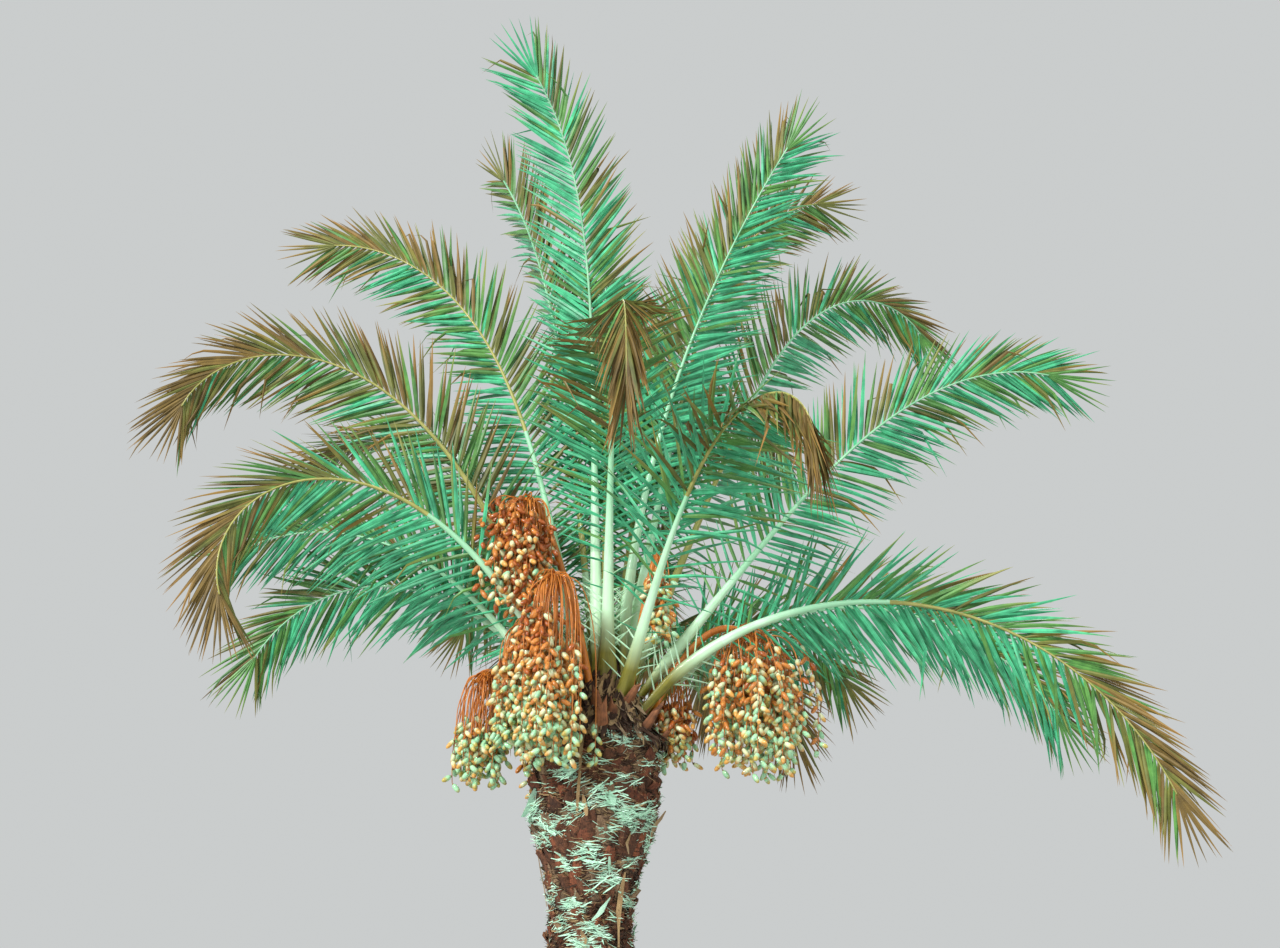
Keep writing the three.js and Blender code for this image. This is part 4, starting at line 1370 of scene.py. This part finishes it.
@dataclass
class Bunch:
    """A bunch of dates: an arched stalk, a fall of strands and the dates on their lower part.

    Attributes:
        name: its name in the frame.
        number: its place in the table, which seeds it.
        bearing: the way it leans, in degrees.
        foot: height of its stalk's foot over the crown's base.
        reach: distance of the stalk's end from the axis.
        top: height of the stalk's end.
        spread: half width of the bunch.
        drop: length that hangs below the stalk's end.
        dates_from: part of a strand above its first date.
        ripeness_and_light: how far its dates have ripened at the top and at the bottom, the upper ones darker
            as painted shade and the lower ones paler as painted floodlight: rust at 1, green at 0 and below.
        strands: number of strands.
        bare: the bearing of its barer side, and how much of those strands is bare besides.
    """

    name: str
    number: int
    bearing: float
    foot: float
    reach: float
    top: float
    spread: float
    drop: float
    dates_from: float
    ripeness_and_light: tuple[float, float]
    strands: int = 46
    bare: tuple[float, float] = (0, 0)

    stalk_radius: float = 17
    stalk_grid: tuple[int, int] = (18, 10)  # rings and sides
    collar_radius: float = 24
    strand_radius: float = 2.8
    strand_grid: tuple[int, int] = (18, 5)
    straying: float = 0.12  # share of strands that stray outwards
    date_radius: float = 13
    date_length: float = 56
    date_spacing: float = 31
    cap_radius: float = 8
    rng: np.random.Generator = field(init=False)

    def __post_init__(self) -> None:
        """Settles the stalk's three guiding points and starts the bunch's own random draws."""
        self.rng = np.random.default_rng(3000 + self.number)
        inset = FOOT_RADIUS - FOOT_INSET * self.foot - 20
        self.start = polar(self.bearing, inset, CROWN_BASE + self.foot)
        self.end = polar(self.bearing, self.reach, self.top)
        self.bend = polar(self.bearing, lerp(FOOT_RADIUS, self.reach, 0.55), self.top + 0.35 * self.reach)
        self.tangent = unit(self.end - self.bend)
        self.collar = self.end + self.tangent * (self.collar_radius + 0.3)

    def stalk_point(self, part: Array) -> Array:
        """Points along the stalk."""
        t = np.asarray(part)[..., None]
        return (1 - t) ** 2 * self.start + 2 * t * (1 - t) * self.bend + t**2 * self.end

    def add_stalk(self, batch: Batch) -> None:
        """Adds the stalk, which widens to where the strands leave it.

        Args:
            batch: the batch that takes it.
        """
        rings, sides = self.stalk_grid
        part = np.linspace(0, 1.0, rings)
        path = np.concatenate([self.stalk_point(part), [self.collar + self.tangent * 10]])
        girth = np.append(self.stalk_radius * (1.15 - 0.2 * part) + 6 * part**6, 5)
        batch.add(*tube(path[None], girth[None], sides))

    def add_strands(self, strands: Batch, caps: Batch, dates: dict[DateTint, Batch]) -> None:
        """Adds the strands, and on each the dates with their caps.

        Args:
            strands: the batch that takes the strands.
            caps: the batch that takes the caps.
            dates: the batches that take the dates, by tint.
        """
        rng = self.rng
        count = self.strands
        order = np.arange(count)
        turn = order * GOLDEN_TURN + rng.uniform(-14, 14, count)
        stray = 1 + 0.3 * (rng.random(count) < self.straying)
        out = self.spread * np.sqrt((order + 0.5) / count) * rng.uniform(0.72, 1.1, count) * stray
        shoulder = self.collar + polar(turn, out, -0.45 * out - 10)
        fall = self.drop * (0.52 + 0.48 * noise(self.number * 31 + order)) + shoulder[:, 2] - self.collar[2]
        end = shoulder - scaled(UP, fall)
        root = self.stalk_point(1 - 0.22 * rng.random(count) ** 1.5) + polar(turn, 8, 0)
        way = polar(turn, 1, 0)
        rise = 0.3 * out + 10 + 120 * rng.random(count) ** 2.5
        lift = root + scaled(way, 0.95 * out) + scaled(UP, rise) + self.tangent * 40
        hang = end + scaled(UP, 0.8 * fall) + scaled(way, 0.1 * out)
        rings, sides = self.strand_grid
        t = np.linspace(0, 1, rings)[None, :, None]
        path = (1 - t) ** 3 * root[:, None] + 3 * t * (1 - t) ** 2 * lift[:, None]
        path = path + 3 * t**2 * (1 - t) * hang[:, None] + t**3 * end[:, None]
        wave = np.sin(t[..., 0] * rng.uniform(8, 20, (count, 1)) + rng.uniform(0, 6, (count, 1)))
        wave = wave * rng.uniform(2, 8, (count, 1)) * np.minimum(t[..., 0] * 3, 1)
        path = path + scaled(polar(turn + 90, 1, 0)[:, None], wave)
        girth = self.strand_radius * (1.25 - 0.5 * t[..., 0]) * np.ones((count, 1))
        strands.add(*tube(path, girth, sides))
        toward = np.maximum(np.cos(np.radians(turn - self.bare[0])), 0)
        bare = self.dates_from + self.bare[1] * toward
        for number in range(count):
            self.hang_dates(path[number], bare[number], caps, dates)

    def hang_dates(self, path: Array, bare: float, caps: Batch, dates: dict[DateTint, Batch]) -> None:
        """Hangs dates along one strand, below its bare part.

        Args:
            path: points of the strand.
            bare: part of it above its first date.
            caps: the batch that takes the caps.
            dates: the batches that take the dates, by tint.
        """
        rng = self.rng
        runs = np.append(0, np.cumsum(np.linalg.norm(np.diff(path, axis=0), axis=1)))
        start = min(bare * rng.uniform(0.85, 1.15), 0.92) * runs[-1]
        count = max(int((runs[-1] - start) / self.date_spacing), 1)
        at = start + (np.arange(count) + 1.0) / count * (runs[-1] - start)
        root = np.stack([np.interp(at, runs, path[:, i]) for i in range(3)], -1)
        turn = np.arange(count) * GOLDEN_TURN + rng.uniform(0, 360)
        sink = rng.uniform(0.5, 1.6, count)
        axis = unit(polar(turn, 1, 0) - scaled(UP, sink))
        length = self.date_length * rng.uniform(0.86, 1.08, count)
        girth = self.date_radius * rng.uniform(0.88, 1.1, count)
        low = (self.top - root[:, 2]) / self.drop
        # Higher dates rank rustier and lower ones paler: partly ripening, partly painted shade above and green
        # floodlight below.
        ripe_and_lit = lerp(self.ripeness_and_light[0], self.ripeness_and_light[1], np.clip(low, 0, 1)) + rng.uniform(-0.42, 0.42, count)
        shapes = ellipsoids(root + axis * 7, axis, length, girth)
        along = np.append(np.repeat(DATE_STATIONS, DATE_SIDES), [0, 1]) * length[:, None]
        lay = np.stack([0 * along, along], -1)
        deal(dates, np.digitize(-ripe_and_lit, DATE_STEPS), shapes, date_faces(), lay)
        caps.add(*date_caps(root, axis, self.cap_radius))


def rings_round(axis: Array, sides: int) -> Array:
    """Draws a ring round each axis, at a distance of 1.

    Args:
        axis: the axes.
        sides: points in a ring.

    Returns:
        The points, as axes x sides x 3.
    """
    guide = np.where(np.abs(axis[..., 2:]) < 0.9, UP, np.array([1.0, 0.0, 0.0]))
    first = unit(np.cross(axis, guide))
    second = np.cross(axis, first)
    turns = turns_round(sides)
    return first[..., None, :] * np.cos(turns)[:, None] + second[..., None, :] * np.sin(turns)[:, None]


def tube(path: Array, girth: Array, sides: int) -> tuple[Array, list[Array]]:
    """Makes tubes along paths, closed to a point at their ends.

    Args:
        path: points of every tube, as tubes x points x 3.
        girth: radius at each point.
        sides: number of sides.

    Returns:
        Corners of every tube and the faces of one.
    """
    tubes, rings = path.shape[:2]
    ring = rings_round(unit(np.gradient(path, axis=1)), sides)
    corners = path[:, :, None] + ring * girth[:, :, None, None]
    corners = np.concatenate([corners.reshape(tubes, -1, 3), path[:, -1:]], 1)
    last = np.arange(sides) + (rings - 1) * sides
    return corners, [grid_faces(rings, sides, True), fan_faces(last, rings * sides)]


def ellipsoids(root: Array, axis: Array, length: Array, girth: Array) -> Array:
    """Makes the plump bodies of dates.

    Args:
        root: where each one starts.
        axis: the way it runs.
        length: its length.
        girth: its greatest radius.

    Returns:
        Corners of every date.
    """
    ring = rings_round(axis, DATE_SIDES)[:, None]
    centre = root[:, None] + scaled(axis[:, None], length[:, None] * DATE_STATIONS)
    body = centre[:, :, None] + scaled(ring, (girth[:, None] * DATE_GIRTHS)[..., None])
    ends = np.stack([root, root + scaled(axis, length)], 1)
    return np.concatenate([body.reshape(len(root), -1, 3), ends], 1)


def date_faces() -> list[Array]:
    """Joins up the corners of one date.

    Returns:
        Its faces.
    """
    rings = len(DATE_STATIONS)
    first = np.arange(DATE_SIDES)
    count = rings * DATE_SIDES
    caps = [fan_faces(first[::-1], count), fan_faces(first + count - DATE_SIDES, count + 1)]
    return [grid_faces(rings, DATE_SIDES, True), *caps]


def date_caps(root: Array, axis: Array, radius: float) -> tuple[Array, list[Array]]:
    """Makes the small cups that hold each date to its strand.

    Args:
        root: where each date starts.
        axis: the way it runs.
        radius: radius of a cup.

    Returns:
        Corners of every cup and the faces of one.
    """
    sides = 6
    rim = root[:, None] + axis[:, None] * 11 + rings_round(axis, sides) * radius
    corners = np.concatenate([rim, root[:, None] - axis[:, None] * 1.0], 1)
    return corners, [fan_faces(np.arange(sides), sides)]


# Bearing, foot, reach, top, spread and drop as the solids have them, then the part of a strand above its
# first date, how far the dates have ripened at the top and at the bottom, with painted shade above and painted
# floodlight below, the number of strands and, for some, the bearing of a barer side and how much barer it is.
BUNCHES = {
    "left_high": (206, 250, 465, 4720, 165, 540, 0.12, (0.9, 0.45), 56, (340, 0.3)),
    "left_front": (240, 150, 500, 4260, 165, 880, 0.3, (1.0, -0.1), 66, (345, 0.5)),
    "left_low": (216, 60, 500, 4040, 120, 560, 0.42, (0.6, 0.0), 50),
    "left_outer": (188, 20, 610, 3830, 130, 500, 0.7, (0.4, 0.0), 66),
    "right_outer": (0, 30, 745, 4050, 240, 660, 0.36, (0.62, 0.02), 76),
    "right_inner": (20, 20, 345, 3925, 110, 460, 0.52, (0.95, 0.2), 44),
    "centre": (335, 170, 290, 4450, 55, 400, 0.25, (0.5, 0.2), 18),
    "back": (122, 40, 520, 3900, 160, 560, 0.4, (0.8, 0.2), 46),
}


@dataclass
class Fruit:
    """All the bunches, joined by kind."""

    bunches: list[Bunch] = field(default_factory=lambda: from_table(Bunch, BUNCHES))

    def build(self) -> None:
        """Builds the fruit's pieces."""
        stalks, strands, caps = Batch(), Batch(), Batch()
        dates = {tint: Batch() for tint in DateTint}
        for bunch in self.bunches:
            bunch.add_stalk(stalks)
            bunch.add_strands(strands, caps, dates)
        stalk_nodes = [f"bunch_{bunch.name}_stalk" for bunch in self.bunches]
        date_nodes = [f"bunch_{bunch.name}_dates" for bunch in self.bunches]
        set_piece("bunch_stalks", stalks, STRAND_WAX, stalk_nodes, True)
        set_piece("bunch_strands", strands, STRAND_WAX, date_nodes, True)
        set_piece("date_caps", caps, FIBRE_TAN, date_nodes, False)
        set_pieces("dates", dates, date_nodes, True)


# ---- Studio ----


@dataclass
class Studio:
    """Pale floor, soft lights and the camera, in metres and degrees."""

    camera_place: tuple[float, float, float] = (0.17, -10.0, 1.6)
    camera_pitch: float = 18.5
    lens: float = 57.15
    floor_half: float = 160.0
    lights: tuple[tuple[str, tuple[float, float, float], float, float], ...] = (  # breadth, then power
        ("key", (-6.0, -8.0, 5.0), 18, 3.7),
        ("fill", (8.0, -8.0, 3.0), 34, 0.7),
        ("rim", (3.0, 9.0, 9.0), 36, 1.3),
    )
    surround: tuple[str, float] = ("#dfe2e2", 0.8)

    def build(self) -> None:
        """Sets up the floor, the lights, the surrounding light and the camera."""
        self.floor()
        for light in self.lights:
            self.light(*light)
        self.world()
        self.camera()

    def floor(self) -> None:
        """A plain pale floor, which isn't part of the palm."""
        half = self.floor_half
        made = bpy.data.meshes.new("floor")
        corners = [(-half, -half, 0), (half, -half, 0), (half, half, 0), (-half, half, 0)]
        made.from_pydata(corners, [], [(0, 1, 2, 3)])
        paint = Finish("floor_matt_plaster", "#bcbcb9", "#b4b4b1", 900, (40.0, 40.0, 40.0), 0.5, 0.85)
        made.materials.append(paint.material())
        add_object("floor", made)

    def light(self, name: str, place: tuple[float, float, float], breadth: float, power: float) -> None:
        """A broad soft light from far off.

        Args:
            name: its name.
            place: the direction that it comes from.
            breadth: how broad it is, in degrees.
            power: its strength.
        """
        lamp = bpy.data.lights.new(name, "SUN")
        lamp.angle = math.radians(breadth)
        lamp.energy = power
        made = add_object(name, lamp)
        aim = -np.array(place)
        made.location = place
        yaw = math.atan2(aim[1], aim[0]) - math.pi / 2
        pitch = math.atan2(aim[2], math.hypot(aim[0], aim[1])) + math.pi / 2
        made.rotation_euler = (pitch, 0.0, yaw)

    def world(self) -> None:
        """Even pale light from all round."""
        world = bpy.data.worlds.new("studio")
        world.use_nodes = True
        back = world.node_tree.nodes["Background"]
        colour, strength = self.surround
        back.inputs["Color"].default_value = linear(colour)
        back.inputs["Strength"].default_value = strength
        bpy.context.scene.world = world
        bpy.context.scene.view_settings.view_transform = "Standard"

    def camera(self) -> None:
        """The camera, low in front of the palm and tilted up at its crown."""
        eye = bpy.data.cameras.new("camera")
        eye.lens = self.lens
        eye.sensor_width = 36.0
        eye.clip_end = 200.0
        made = add_object("camera", eye)
        made.location = self.camera_place
        made.rotation_euler = (math.radians(90 + self.camera_pitch), 0.0, 0.0)
        bpy.context.scene.camera = made


def main() -> None:
    """Builds the palm and its studio."""
    logging.basicConfig(level=logging.INFO, format="%(message)s")
    Studio().build()
    Trunk().build()
    Crown().build()
    Fruit().build()


if __name__ == "__main__":
    main()
